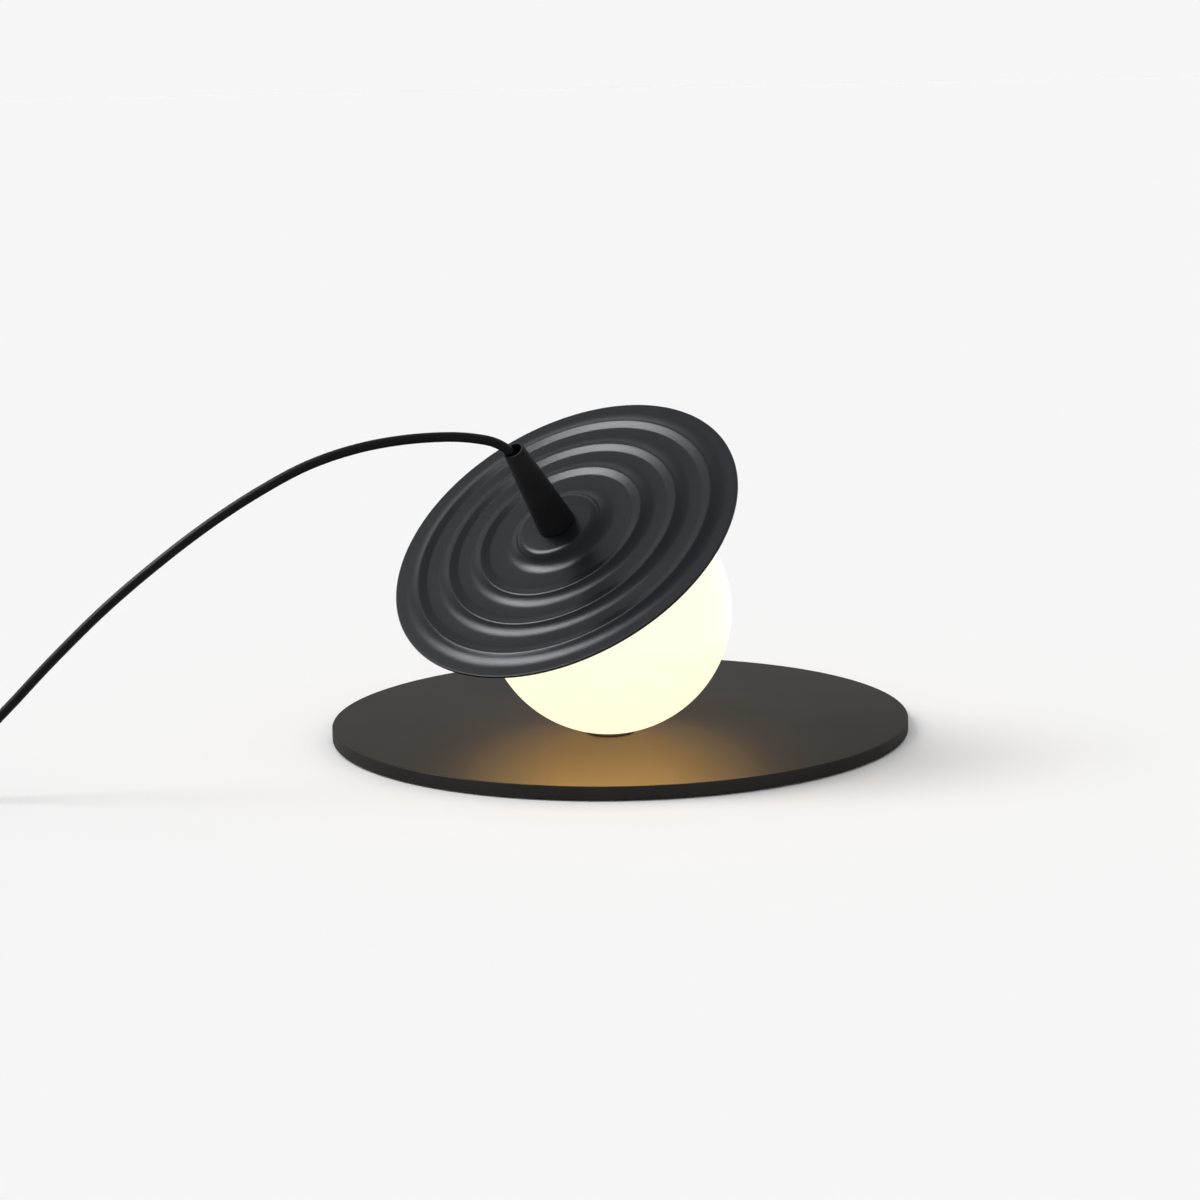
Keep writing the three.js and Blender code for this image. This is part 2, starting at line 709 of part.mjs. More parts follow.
function cordCone() {
  const base = CONE_BASE_DIAMETER * HALF;
  const tip = CONE_TOP_DIAMETER * HALF;
  const thread = SPIGOT_DIAMETER * HALF + GAP;
  const threadTop = coneBottom + CONE_THREAD_DEPTH;
  const outerAtThread = base - ((base - tip) * CONE_THREAD_DEPTH) / CONE_HEIGHT;
  return turned(
    [
      [thread, coneBottom],
      [base, coneBottom],
      [tip, coneTop - CONE_LIP],
      [tip - CONE_LIP, coneTop],
      [tip - CONE_WALL + CONE_LIP * HALF, coneTop],
      [tip - CONE_WALL, coneTop - CONE_LIP],
      [outerAtThread - CONE_WALL, threadTop],
      [thread, threadTop],
    ],
    RING_FACETS,
  );
}

place(crown, "cord_cone", cordCone(), coneFinish);

// Lampholder in its bracket, and the capsule lamp plugged into it
const legHeight = holderTop - BRACKET_SCREW_HEIGHT;
const legInside = HOLDER_LENGTH * HALF + GAP;
const legOutside = legInside + BRACKET_THICKNESS;
const holderScrewHole = rod(
  HOLDER_SCREW_DIAMETER * HALF + GAP,
  -legOutside * 2,
  legOutside * 2,
  SMALL_FACETS,
);

function holderBracket() {
  const legBottom = holderBottom + BRACKET_LEG_SHORT;
  const block = box(2 * legOutside, BRACKET_WIDTH, legBottom, bracketTop);
  const inside = box(
    2 * legInside,
    BRACKET_WIDTH + 2 * OVERRUN,
    legBottom - OVERRUN,
    bracketTop - BRACKET_THICKNESS,
  );
  const hole = rod(tubeHole, bracketTop - BRACKET_THICKNESS - OVERRUN, bracketTop + OVERRUN);
  return cut(block, inside, hole, sideways(holderScrewHole, legHeight));
}

function lampholder() {
  const corner = HOLDER_WIDTH * HALF - GAP;
  const body = slab(roundedOutline(HOLDER_LENGTH, HOLDER_WIDTH, corner), holderBottom, holderTop);
  const pinHole = rod(
    HOLDER_PIN_HOLE * HALF,
    holderBottom - OVERRUN,
    holderBottom + HOLDER_PIN_DEPTH,
    SMALL_FACETS,
  );
  const coreHole = rod(
    HOLDER_CORE_HOLE * HALF,
    holderTop - HOLDER_CORE_DEPTH,
    holderTop + OVERRUN,
    SMALL_FACETS,
  );
  const endHole = rod(
    HOLDER_SCREW_DIAMETER * HALF + GAP,
    HOLDER_LENGTH * HALF - HOLDER_SCREW_LENGTH,
    HOLDER_LENGTH,
    SMALL_FACETS,
  );
  const pinPlace = HOLDER_PIN_SPACING * HALF;
  return cut(
    body,
    moved(pinHole, pinPlace, 0, 0),
    moved(pinHole, -pinPlace, 0, 0),
    moved(coreHole, CORE_SPREAD, 0, 0),
    moved(coreHole, -CORE_SPREAD, 0, 0),
    sideways(endHole, legHeight),
    sideways(endHole, legHeight).mirror([1, 0, 0]),
  );
}

function holderScrew() {
  const shank = HOLDER_SCREW_DIAMETER * HALF;
  const head = HOLDER_SCREW_HEAD_DIAMETER * HALF;
  const seat = legOutside + GAP;
  const tip = HOLDER_LENGTH * HALF - HOLDER_SCREW_LENGTH + GAP;
  return turned(
    [
      [0, tip],
      [shank, tip],
      [shank, seat],
      [head, seat],
      [head, seat + HOLDER_SCREW_HEAD_HEIGHT * HALF],
      [head * HALF, seat + HOLDER_SCREW_HEAD_HEIGHT],
      [0, seat + HOLDER_SCREW_HEAD_HEIGHT],
    ],
    SMALL_FACETS,
  );
}

function lampCapsule() {
  const radius = LAMP_DIAMETER * HALF;
  const tip = lampTop - LAMP_LENGTH;
  const body = turned([
    [0, lampTop],
    [radius, lampTop],
    [radius, tip + LAMP_NOSE],
    [radius * LAMP_NOSE_WIDTH_SHARE, tip + LAMP_NOSE * LAMP_NOSE_HEIGHT_SHARE],
    [radius * LAMP_TIP_SHARE, tip],
    [0, tip],
  ]);
  const root = rod(
    LAMP_PIN_DIAMETER * HALF + GAP,
    lampTop - LAMP_PIN_ROOT,
    lampTop + OVERRUN,
    SMALL_FACETS,
  );
  const pinPlace = HOLDER_PIN_SPACING * HALF;
  return cut(body, moved(root, pinPlace, 0, 0), moved(root, -pinPlace, 0, 0));
}

place(crown, "holder_bracket", holderBracket(), zincFinish);
place(crown, "lampholder", lampholder(), ceramicFinish);
place(crown, "lamp_capsule", lampCapsule(), lampFinish);
[1, -1].forEach((side, i) => {
  const screw = sideways(holderScrew(), legHeight);
  const pinBottom = lampTop - LAMP_PIN_ROOT + GAP;
  const pin = rod(LAMP_PIN_DIAMETER * HALF, pinBottom, pinBottom + LAMP_PIN_LENGTH, SMALL_FACETS);
  place(crown, `holder_screw_${i + 1}`, side > 0 ? screw : screw.mirror([1, 0, 0]), zincFinish);
  place(crown, `lamp_pin_${i + 1}`, moved(pin, side * HOLDER_PIN_SPACING * HALF, 0, 0), zincFinish);
});

// A tube along a path, with flat ends square to it
function tubeAlong(path, radius, sides, steps) {
  const section = new THREE.Shape(
    Array.from({ length: sides }, (_, i) => {
      const angle = (2 * Math.PI * i) / sides;
      return new THREE.Vector2(radius * Math.cos(angle), radius * Math.sin(angle));
    }),
  );
  return solid(
    new THREE.ExtrudeGeometry(section, { steps, extrudePath: path, bevelEnabled: false }),
  );
}

const pathThrough = (points) =>
  new THREE.CatmullRomCurve3(points.map((point) => new THREE.Vector3(...point)), false, "centripetal");

function core(side) {
  const beside = side * (CORE_DIAMETER + GAP) * HALF;
  return tubeAlong(
    pathThrough([
      [beside, 0, cordStart - GAP],
      [beside, 0, BOSS_HEIGHT],
      [beside, 0, tubeBottom + CORE_DIAMETER],
      [beside, 0, tubeBottom],
      [side * CORE_SPREAD * CORE_BEND_SHARE, 0, tubeBottom - HOLDER_DROP * HALF],
      [side * CORE_SPREAD, 0, holderTop],
      [side * CORE_SPREAD, 0, holderTop - HOLDER_CORE_DEPTH + GAP],
    ]),
    CORE_DIAMETER * HALF,
    CORE_SIDES,
    CORE_STEPS,
  );
}

place(crown, "core_live", core(1), liveFinish);
place(crown, "core_neutral", core(-1), neutralFinish);

// Free stretch of the cord, from the grip up the cone and over to the switch
const onAxis = (height) =>
  leanDirection.clone().multiplyScalar(discHeight + height).add(globeCentre).toArray();
const switchNear = SWITCH_RIGHT + SWITCH_LENGTH * HALF;
const switchFar = SWITCH_RIGHT - SWITCH_LENGTH * HALF;
const archRoute = [
  onAxis(cordStart),
  onAxis(cordStart + CORD_DIAMETER),
  onAxis(cordStart + 3 * CORD_DIAMETER),
  [-48.7, -90, 156.5],
  [-52.7, -92.7, 161.8],
  [-58.9, -94.2, 165.5],
  [-67.5, -95.2, 167.6],
  [-79.8, -96.9, 168.9],
  [-102.7, -100.5, 168.3],
  [-125.6, -104.5, 164.8],
  [-148.5, -108.5, 157.7],
  [-171.5, -112.4, 146.2],
  [-194.6, -116.2, 132.1],
  [-217.7, -119.4, 115.6],
  [-245, -121.4, 93.6],
  [-272, -122, 68.4],
  [-296, -122, 44.1],
  [-315, -122, 26],
  [-331, -122, 14.6],
  [-344, -122, 9.6],
  [switchNear, SWITCH_BACK, CORD_HEIGHT_IN_SWITCH],
  [switchNear - CORD_INTO_SWITCH, SWITCH_BACK, CORD_HEIGHT_IN_SWITCH],
];
const ARCH_STEPS = 54;

// Coil: spirals in on the floor layer, climbs where it turns back, and spirals out on top
const coilCentre = new THREE.Vector3(COIL_RIGHT, COIL_BACK, 0);
const coilOuter = COIL_MIDDLE_DIAMETER * HALF + COIL_TURNS_IN * HALF * coilPitch;
const coilInner = coilOuter - COIL_TURNS_IN * coilPitch;
const coilTurns = COIL_TURNS_IN + HALF + COIL_TURNS_OUT;

function coilPoint(turn) {
  const back = turn - COIL_TURNS_IN;
  const climb = THREE.MathUtils.smoothstep(back, 0, HALF);
  let radius = coilOuter - turn * coilPitch;
  if (back > HALF) radius = coilInner + (back - HALF) * coilPitch;
  else if (back > 0) radius = coilInner - coilPitch * back * (1 - 2 * back);
  const angle = Math.PI - 2 * Math.PI * turn;
  const height = coilLowHeight + coilPitch * climb;
  return new THREE.Vector3(radius * Math.cos(angle), radius * Math.sin(angle), height).add(coilCentre);
}

class CoilPath extends THREE.Curve {
  // The coil's turns, with a straight lead of one diameter at each end
  constructor() {
    super();
    this.leadTurns = CORD_DIAMETER / (2 * Math.PI * coilOuter);
  }

  getPoint(share, target = new THREE.Vector3()) {
    const turn = share * (coilTurns + 2 * this.leadTurns) - this.leadTurns;
    const held = THREE.MathUtils.clamp(turn, 0, coilTurns);
    const beyond = (turn - held) / this.leadTurns;
    const point = coilPoint(held);
    point.y += beyond * CORD_DIAMETER;
    return target.copy(point);
  }
}

const coilPath = new CoilPath();
const coilStart = coilPath.getPoint(0);
const coilEnd = coilPath.getPoint(1);

function leastCoilGap() {
  const samples = Math.round(coilTurns * COIL_STEPS_PER_TURN * 4);
  const points = Array.from({ length: samples + 1 }, (_, i) => coilPath.getPoint(i / samples));
  const apart = Math.round(samples / coilTurns / 3);
  let least = Infinity;
  points.forEach((a, i) => {
    for (let j = i + apart; j < points.length; j += 1) least = Math.min(least, a.distanceTo(points[j]));
  });
  return least - CORD_DIAMETER;
}

console.log("least gap between the coil's turns, mm:", leastCoilGap().toFixed(2));

const leadRoute = [
  [switchFar + CORD_INTO_SWITCH, SWITCH_BACK, CORD_HEIGHT_IN_SWITCH],
  [switchFar, SWITCH_BACK, CORD_HEIGHT_IN_SWITCH],
  [-421, -121.6, 8.2],
  [-430, -119, 6.4],
  [-438, -113.6, 4.8],
  [-443.6, -105.8, 3.9],
  [-446.4, -96, coilLowHeight],
  [coilStart.x, -84, coilLowHeight],
  [coilStart.x, -74, coilLowHeight],
  [coilStart.x, coilStart.y - GAP, coilLowHeight],
];
const LEAD_STEPS = 18;

const plugCordHeight = PLUG_HEIGHT * HALF;
const tailRoute = [
  [coilEnd.x, coilEnd.y + GAP, coilEnd.z],
  [coilEnd.x, coilEnd.y + CORD_DIAMETER, coilEnd.z],
  [-450.6, -42, 7.4],
  [-450.8, -30, 5.6],
  [-450.6, -18, 4.6],
  [PLUG_RIGHT, -8, 5.2],
  [PLUG_RIGHT, PLUG_BACK - RELIEF_LENGTH - CORD_DIAMETER, plugCordHeight],
  [PLUG_RIGHT, PLUG_BACK - RELIEF_LENGTH - GAP, plugCordHeight],
];
const TAIL_STEPS = 15;

const archPath = pathThrough(archRoute);
const leadPath = pathThrough(leadRoute);
const tailPath = pathThrough(tailRoute);
place(lamp, "cord_arch", tubeAlong(archPath, cordRadius, CORD_SIDES, ARCH_STEPS), cordFinish);
place(lamp, "cord_lead", tubeAlong(leadPath, cordRadius, CORD_SIDES, LEAD_STEPS), cordFinish);
place(lamp, "cord_tail", tubeAlong(tailPath, cordRadius, CORD_SIDES, TAIL_STEPS), cordFinish);
const coilSteps = Math.round((coilTurns + 2 * coilPath.leadTurns) * COIL_STEPS_PER_TURN);
place(lamp, "cord_coil", tubeAlong(coilPath, cordRadius, COIL_SIDES, coilSteps), cordFinish);
const lengths = [archPath, leadPath, coilPath, tailPath].map((path) => path.getLength());
console.log("cord runs, mm:", lengths.map((length) => length.toFixed(0)).join(" "));

// Tie round the coil's bundle
function coilTie() {
  const inside = Math.sqrt((coilInner - cordRadius) ** 2 - (TIE_WIDTH * HALF) ** 2);
  const inner = inside - 2 * GAP;
  const outer = coilInner + (COIL_TURNS_OUT - HALF) * coilPitch + cordRadius + 2 * GAP;
  const height = coilLowHeight + coilPitch + cordRadius + GAP + TIE_THICKNESS;
  const border = 2 * TIE_THICKNESS;
  const strap = slab(
    roundedOutline(outer - inner + border, height, cordRadius),
    -TIE_WIDTH * HALF,
    TIE_WIDTH * HALF,
  );
  const bundle = slab(
    roundedOutline(outer - inner, height - border, cordRadius - TIE_THICKNESS),
    -TIE_WIDTH,
    TIE_WIDTH,
  );
  return moved(cut(strap, bundle).rotate([90, 0, 0]), (inner + outer) * HALF, 0, height * HALF);
}

const coil = new THREE.Group();
coil.position.copy(coilCentre);
lamp.add(coil);
place(coil, "coil_tie", coilTie(), rubberFinish);

// Hand switch: two screwed shells, a rocker on a pin, and the two terminals
const handSwitch = new THREE.Group();
handSwitch.position.set(SWITCH_RIGHT, SWITCH_BACK, 0);
lamp.add(handSwitch);
const partingHeight = CORD_HEIGHT_IN_SWITCH;
const switchRoof = SWITCH_HEIGHT - SWITCH_WALL;
const pivotHeight = SWITCH_HEIGHT - ROCKER_PIVOT_DEPTH;
const screwX = SWITCH_LENGTH * HALF - SWITCH_SCREW_INSET_X;
const screwY = SWITCH_WIDTH * HALF - SWITCH_SCREW_INSET_Y;
const screwPlaces = [[screwX, screwY], [-screwX, -screwY]];
const switchScrewHole = SWITCH_SCREW_DIAMETER * HALF + GAP;
const switchScrewTop = GAP + SWITCH_SCREW_LENGTH;
const switchPost = switchScrewHole + SWITCH_BOSS_WALL;

function switchShell(bottom, top) {
  const outside = slab(
    roundedOutline(SWITCH_LENGTH, SWITCH_WIDTH, SWITCH_CORNER),
    0,
    SWITCH_HEIGHT,
    SWITCH_BEVEL,
  );
  const inside = slab(
    roundedOutline(
      SWITCH_LENGTH - 2 * SWITCH_WALL,
      SWITCH_WIDTH - 2 * SWITCH_WALL,
      SWITCH_CORNER - SWITCH_WALL,
    ),
    SWITCH_WALL,
    switchRoof,
  );
  const posts = screwPlaces.map(([x, y]) =>
    moved(rod(switchPost, SWITCH_WALL * HALF, switchRoof + SWITCH_WALL * HALF, SMALL_FACETS), x, y, 0),
  );
  const cordWay = sideways(
    rod(cordRadius + GAP, -SWITCH_LENGTH, SWITCH_LENGTH, SMALL_FACETS),
    CORD_HEIGHT_IN_SWITCH,
  );
  const band = box(2 * SWITCH_LENGTH, 2 * SWITCH_WIDTH, bottom, top);
  return cut(union(cut(outside, inside), ...posts), cordWay).intersect(band);
}

function switchBase() {
  const head = SWITCH_SCREW_HEAD_DIAMETER * HALF + GAP;
  const tools = screwPlaces.flatMap(([x, y]) => [
    moved(rod(head, -OVERRUN, 2 * GAP + SWITCH_SCREW_HEAD_HEIGHT, SMALL_FACETS), x, y, 0),
    moved(rod(switchScrewHole, -OVERRUN, SWITCH_HEIGHT, SMALL_FACETS), x, y, 0),
  ]);
  return cut(switchShell(-OVERRUN, partingHeight), ...tools);
}

function switchCover() {
  const window = box(
    ROCKER_LENGTH + 2 * ROCKER_SLACK,
    ROCKER_WIDTH + 2 * ROCKER_SLACK,
    switchRoof - OVERRUN,
    SWITCH_HEIGHT + OVERRUN,
  );
  const cheekPlace = ROCKER_WIDTH * HALF + ROCKER_SLACK + CHEEK_THICKNESS * HALF;
  const cheekBottom = pivotHeight - ROCKER_PIN_DIAMETER * HALF - SWITCH_BOSS_WALL;
  const cheek = box(CHEEK_LENGTH, CHEEK_THICKNESS, cheekBottom, switchRoof + SWITCH_WALL * HALF);
  const pinHole = rod(ROCKER_PIN_DIAMETER * HALF + GAP, -SWITCH_WIDTH, SWITCH_WIDTH, SMALL_FACETS);
  const across = moved(pinHole.rotate([90, 0, 0]), 0, 0, pivotHeight);
  const cheeks = union(moved(cheek, 0, cheekPlace, 0), moved(cheek, 0, -cheekPlace, 0));
  const screwHoles = screwPlaces.map(([x, y]) =>
    moved(rod(switchScrewHole, 0, switchScrewTop + GAP, SMALL_FACETS), x, y, 0),
  );
  const inner = box(SWITCH_LENGTH, SWITCH_WIDTH - SWITCH_WALL, 0, switchRoof + SWITCH_WALL * HALF);
  const shell = switchShell(partingHeight + GAP, SWITCH_HEIGHT + OVERRUN);
  return cut(union(shell, cut(cheeks, across).intersect(inner)), window, ...screwHoles);
}

// The rocker's side view about its pin: a shallow valley between two raised ends
function switchRocker() {
  const end = ROCKER_LENGTH * HALF - ROCKER_SLACK;
  const crest = SWITCH_HEIGHT + ROCKER_PROUD - pivotHeight;
  const outline = [
    [-end, -ROCKER_DEPTH * HALF],
    [end, -ROCKER_DEPTH * HALF],
    [end, crest * HALF],
    [end - ROCKER_SLACK, crest],
    [0, crest - ROCKER_VALLEY],
    [-end + ROCKER_SLACK, crest],
    [-end, crest * HALF],
  ];
  const block = slab(outline, -ROCKER_WIDTH * HALF, ROCKER_WIDTH * HALF);
  const bore = rod(ROCKER_PIN_DIAMETER * HALF + GAP, -ROCKER_WIDTH, ROCKER_WIDTH, SMALL_FACETS);
  return moved(cut(block, bore).rotate([90, ROCKER_THROW, 0]), 0, 0, pivotHeight);
}

function switchScrew() {
  const head = SWITCH_SCREW_HEAD_DIAMETER * HALF;
  const shank = SWITCH_SCREW_DIAMETER * HALF;
  const seat = GAP + SWITCH_SCREW_HEAD_HEIGHT;
  return turned(
    [[0, GAP], [head, GAP], [head, seat], [shank, seat], [shank, switchScrewTop], [0, switchScrewTop]],
    SMALL_FACETS,
  );
}

place(handSwitch, "switch_base", switchBase(), plasticFinish);
place(handSwitch, "switch_cover", switchCover(), plasticFinish);
place(handSwitch, "switch_rocker", switchRocker(), plasticFinish);
const rockerPinHalf = ROCKER_WIDTH * HALF + ROCKER_SLACK + CHEEK_THICKNESS;
place(
  handSwitch,
  "rocker_pin",
  moved(
    rod(ROCKER_PIN_DIAMETER * HALF, -rockerPinHalf, rockerPinHalf, SMALL_FACETS).rotate([90, 0, 0]),
    0,
    0,
    pivotHeight,
  ),
  zincFinish,
);
screwPlaces.forEach(([x, y], i) => {
  const side = Math.sign(x);
  const terminal = box(TERMINAL_LENGTH, TERMINAL_WIDTH, SWITCH_WALL, SWITCH_WALL + TERMINAL_HEIGHT);
  place(handSwitch, `switch_screw_${i + 1}`, moved(switchScrew(), x, y, 0), zincFinish);
  place(
    handSwitch,
    `switch_terminal_${i + 1}`,
    moved(terminal, side * TERMINAL_SPACING * HALF, 0, 0),
    brassFinish,
  );
});

// Plug: flat body with a moulded relief behind and two half-sleeved pins in front
const plug = new THREE.Group();
plug.position.set(PLUG_RIGHT, PLUG_BACK, plugCordHeight);
lamp.add(plug);
const lengthwise = (shape) => shape.rotate([-90, 0, 0]);
const reliefRootHole = RELIEF_PEG_DIAMETER * HALF + GAP;

function plugBody() {
  const neck = PLUG_NECK_WIDTH * HALF;
  const wide = PLUG_WIDTH * HALF;
  const blank = slab(
    [
      [-neck, 0],
      [neck, 0],
      [neck + (wide - neck) * PLUG_NECK_SHARE, PLUG_LENGTH * PLUG_SHOULDER_SHARE * HALF],
      [wide, PLUG_LENGTH * PLUG_SHOULDER_SHARE],
      [wide, PLUG_LENGTH],
      [-wide, PLUG_LENGTH],
      [-wide, PLUG_LENGTH * PLUG_SHOULDER_SHARE],
      [-neck - (wide - neck) * PLUG_NECK_SHARE, PLUG_LENGTH * PLUG_SHOULDER_SHARE * HALF],
    ],
    -PLUG_HEIGHT * HALF,
    PLUG_HEIGHT * HALF,
    PLUG_BEVEL,
  );
  const pegHole = lengthwise(rod(reliefRootHole, -OVERRUN, RELIEF_PEG_LENGTH + GAP));
  const pinHole = lengthwise(
    rod(PIN_DIAMETER * HALF + GAP, PLUG_LENGTH - PIN_ROOT, PLUG_LENGTH + OVERRUN),
  );
  const apart = PIN_SPACING * HALF;
  return cut(blank, pegHole, moved(pinHole, apart, 0, 0), moved(pinHole, -apart, 0, 0));
}

function plugRelief() {
  const root = RELIEF_ROOT_DIAMETER * HALF;
  const tip = RELIEF_TIP_DIAMETER * HALF;
  const peg = RELIEF_PEG_DIAMETER * HALF;
  const ribbed = RELIEF_LENGTH - RELIEF_COLLAR_LENGTH - GAP;
  const rib = ribbed / RELIEF_RIBS;
  const outline = [[0, RELIEF_PEG_LENGTH], [peg, RELIEF_PEG_LENGTH], [peg, -GAP], [root, -GAP]];
  for (let i = 0; i < RELIEF_RIBS; i += 1) {
    const start = -GAP - RELIEF_COLLAR_LENGTH - i * rib;
    const radius = root - ((root - tip) * i) / RELIEF_RIBS;
    outline.push([radius, start]);
    outline.push([radius - RELIEF_GROOVE, start]);
    outline.push([radius - RELIEF_GROOVE, start - rib * HALF]);
    outline.push([radius - RELIEF_GROOVE * HALF, start - rib * HALF]);
  }
  outline.push([tip, -RELIEF_LENGTH], [0, -RELIEF_LENGTH]);
  return lengthwise(turned(outline, SMALL_FACETS));
}

function plugPin() {
  const full = PIN_DIAMETER * HALF;
  const neck = PIN_NECK_DIAMETER * HALF;
  const sleeveTop = PLUG_LENGTH + PIN_SLEEVE_LENGTH;
  const end = PLUG_LENGTH + PIN_LENGTH;
  return lengthwise(
    turned(
      [
        [0, PLUG_LENGTH - PIN_ROOT + GAP],
        [neck, PLUG_LENGTH - PIN_ROOT + GAP],
        [neck, sleeveTop],
        [full, sleeveTop],
        [full, end - PIN_TIP],
        [full * HALF, end],
        [0, end],
      ],
      SMALL_FACETS,
    ),
  );
}

function pinSleeve() {
  return lengthwise(
    ringOf(
      PIN_NECK_DIAMETER * HALF + GAP,
      PIN_SLEEVE_DIAMETER * HALF,
      PLUG_LENGTH - PIN_ROOT + GAP,
      PLUG_LENGTH + PIN_SLEEVE_LENGTH - GAP,
      SMALL_FACETS,
    ),
  );
}

place(plug, "plug_body", plugBody(), plasticFinish);
place(plug, "plug_relief", plugRelief(), rubberFinish);
[1, -1].forEach((side, i) => {
  const apart = side * PIN_SPACING * HALF;
  place(plug, `plug_pin_${i + 1}`, moved(plugPin(), apart, 0, 0), brassFinish);
  place(plug, `pin_sleeve_${i + 1}`, moved(pinSleeve(), apart, 0, 0), plasticFinish);
});

export default lamp;
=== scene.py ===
import math

import bmesh
import bpy
from mathutils import Matrix, Vector


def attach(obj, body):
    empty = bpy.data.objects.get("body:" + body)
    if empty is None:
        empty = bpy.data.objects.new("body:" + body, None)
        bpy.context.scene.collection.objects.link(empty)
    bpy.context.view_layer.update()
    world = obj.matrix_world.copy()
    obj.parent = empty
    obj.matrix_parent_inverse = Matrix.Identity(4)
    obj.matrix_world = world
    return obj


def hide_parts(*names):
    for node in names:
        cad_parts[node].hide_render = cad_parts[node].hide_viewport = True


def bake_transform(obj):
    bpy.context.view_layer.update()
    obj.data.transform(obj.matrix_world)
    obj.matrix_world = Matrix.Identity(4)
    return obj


# A table lamp: an opal globe stands on a thin round plate and wears a leaning, rippled disc, with
# a cone that lets the cord out at the top. Sizes below are millimetres, and the scene is in metres.
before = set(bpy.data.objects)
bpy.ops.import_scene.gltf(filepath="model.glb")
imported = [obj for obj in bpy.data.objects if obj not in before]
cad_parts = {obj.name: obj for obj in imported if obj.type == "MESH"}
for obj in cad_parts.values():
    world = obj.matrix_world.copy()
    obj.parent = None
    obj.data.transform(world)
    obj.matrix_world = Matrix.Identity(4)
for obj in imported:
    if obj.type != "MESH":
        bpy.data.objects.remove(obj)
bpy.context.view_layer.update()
MM = 0.001
TURN = 2 * math.pi
QUARTER = TURN / 4
GAP = 0.3
OVERRUN = 1
WELD_DISTANCE = 0.002

# Where the globe stands, and how the head leans
GLOBE_PLACE = (-5.2, -35.4)
LEAN_ANGLE = math.radians(38.4)
LEAN_HEADING = math.radians(-128.2)
PLATE_TOP = 7.5
GLOBE_RADIUS = 62.5
GLASS_WALL = 3
MOUTH_RADIUS = 32.25
RIM_ABOVE_MOUTH = 4.85

globe_centre = Vector((*GLOBE_PLACE, PLATE_TOP + GAP + GLOBE_RADIUS))
lean = Vector((
    math.sin(LEAN_ANGLE) * math.cos(LEAN_HEADING),
    math.sin(LEAN_ANGLE) * math.sin(LEAN_HEADING),
    math.cos(LEAN_ANGLE),
))
mouth_height = math.sqrt((GLOBE_RADIUS - GLASS_WALL) ** 2 - MOUTH_RADIUS ** 2)
crown_height = mouth_height + RIM_ABOVE_MOUTH
leaning = Vector((0, 0, 1)).rotation_difference(lean).to_matrix().to_4x4()
head_place = Matrix.Translation(globe_centre) @ leaning
crown_place = head_place @ Matrix.Translation((0, 0, crown_height))
foot_place = Matrix.Translation((*GLOBE_PLACE, 0))


# Camera at the photograph's viewing angle, with its angles in degrees
CAMERA_PLACE = (-9.2, -1531, 357)
CAMERA_DIP = 10.64
CAMERA_ROLL = -1.15
LENS_LENGTH = 90
SENSOR_WIDTH = 36
FARTHEST_SEEN = 100000


def place_camera():
    data = bpy.data.cameras.new("camera")
    data.lens = LENS_LENGTH
    data.sensor_width = SENSOR_WIDTH
    data.clip_end = FARTHEST_SEEN * MM
    camera = bpy.data.objects.new("camera", data)
    bpy.context.scene.collection.objects.link(camera)
    tilt = Matrix.Rotation(math.radians(90 - CAMERA_DIP), 4, "X")
    roll = Matrix.Rotation(math.radians(CAMERA_ROLL), 4, "Z")
    camera.matrix_world = in_metres(Matrix.Translation(CAMERA_PLACE)) @ tilt @ roll
    bpy.context.scene.camera = camera


# Node trees

class Tree:
    """A node tree under construction: sockets by name, numbers or links as values."""

    def __init__(self, name, kind):
        self.tree = bpy.data.node_groups.new(name, kind)
        self.nodes = self.tree.nodes
        self.entry = self.nodes.new("NodeGroupInput")
        self.exit = self.nodes.new("NodeGroupOutput")

    def takes(self, name, kind, value=None):
        socket = self.tree.interface.new_socket(name=name, in_out="INPUT", socket_type=kind)
        if value is not None:
            socket.default_value = value
        return self.entry.outputs[name]

    def gives(self, name, kind, source):
        self.tree.interface.new_socket(name=name, in_out="OUTPUT", socket_type=kind)
        self.feed(self.exit.inputs[name], source)

    def feed(self, socket, value):
        if isinstance(value, bpy.types.NodeSocket):
            self.tree.links.new(value, socket)
        else:
            socket.default_value = value

    def add(self, kind, values=None, **settings):
        node = self.nodes.new(kind)
        for name, value in settings.items():
            setattr(node, name, value)
        for name, value in (values or {}).items():
            self.feed(node.inputs[name], value)
        return node

    def maths(self, operation, *values):
        node = self.add("ShaderNodeMath", operation=operation)
        for socket, value in zip(node.inputs, values):
            self.feed(socket, value)
        return node.outputs[0]

    def either(self, test, no, yes):
        """yes where test is 1, no where it is 0."""
        return self.maths("MULTIPLY_ADD", test, self.maths("SUBTRACT", yes, no), no)


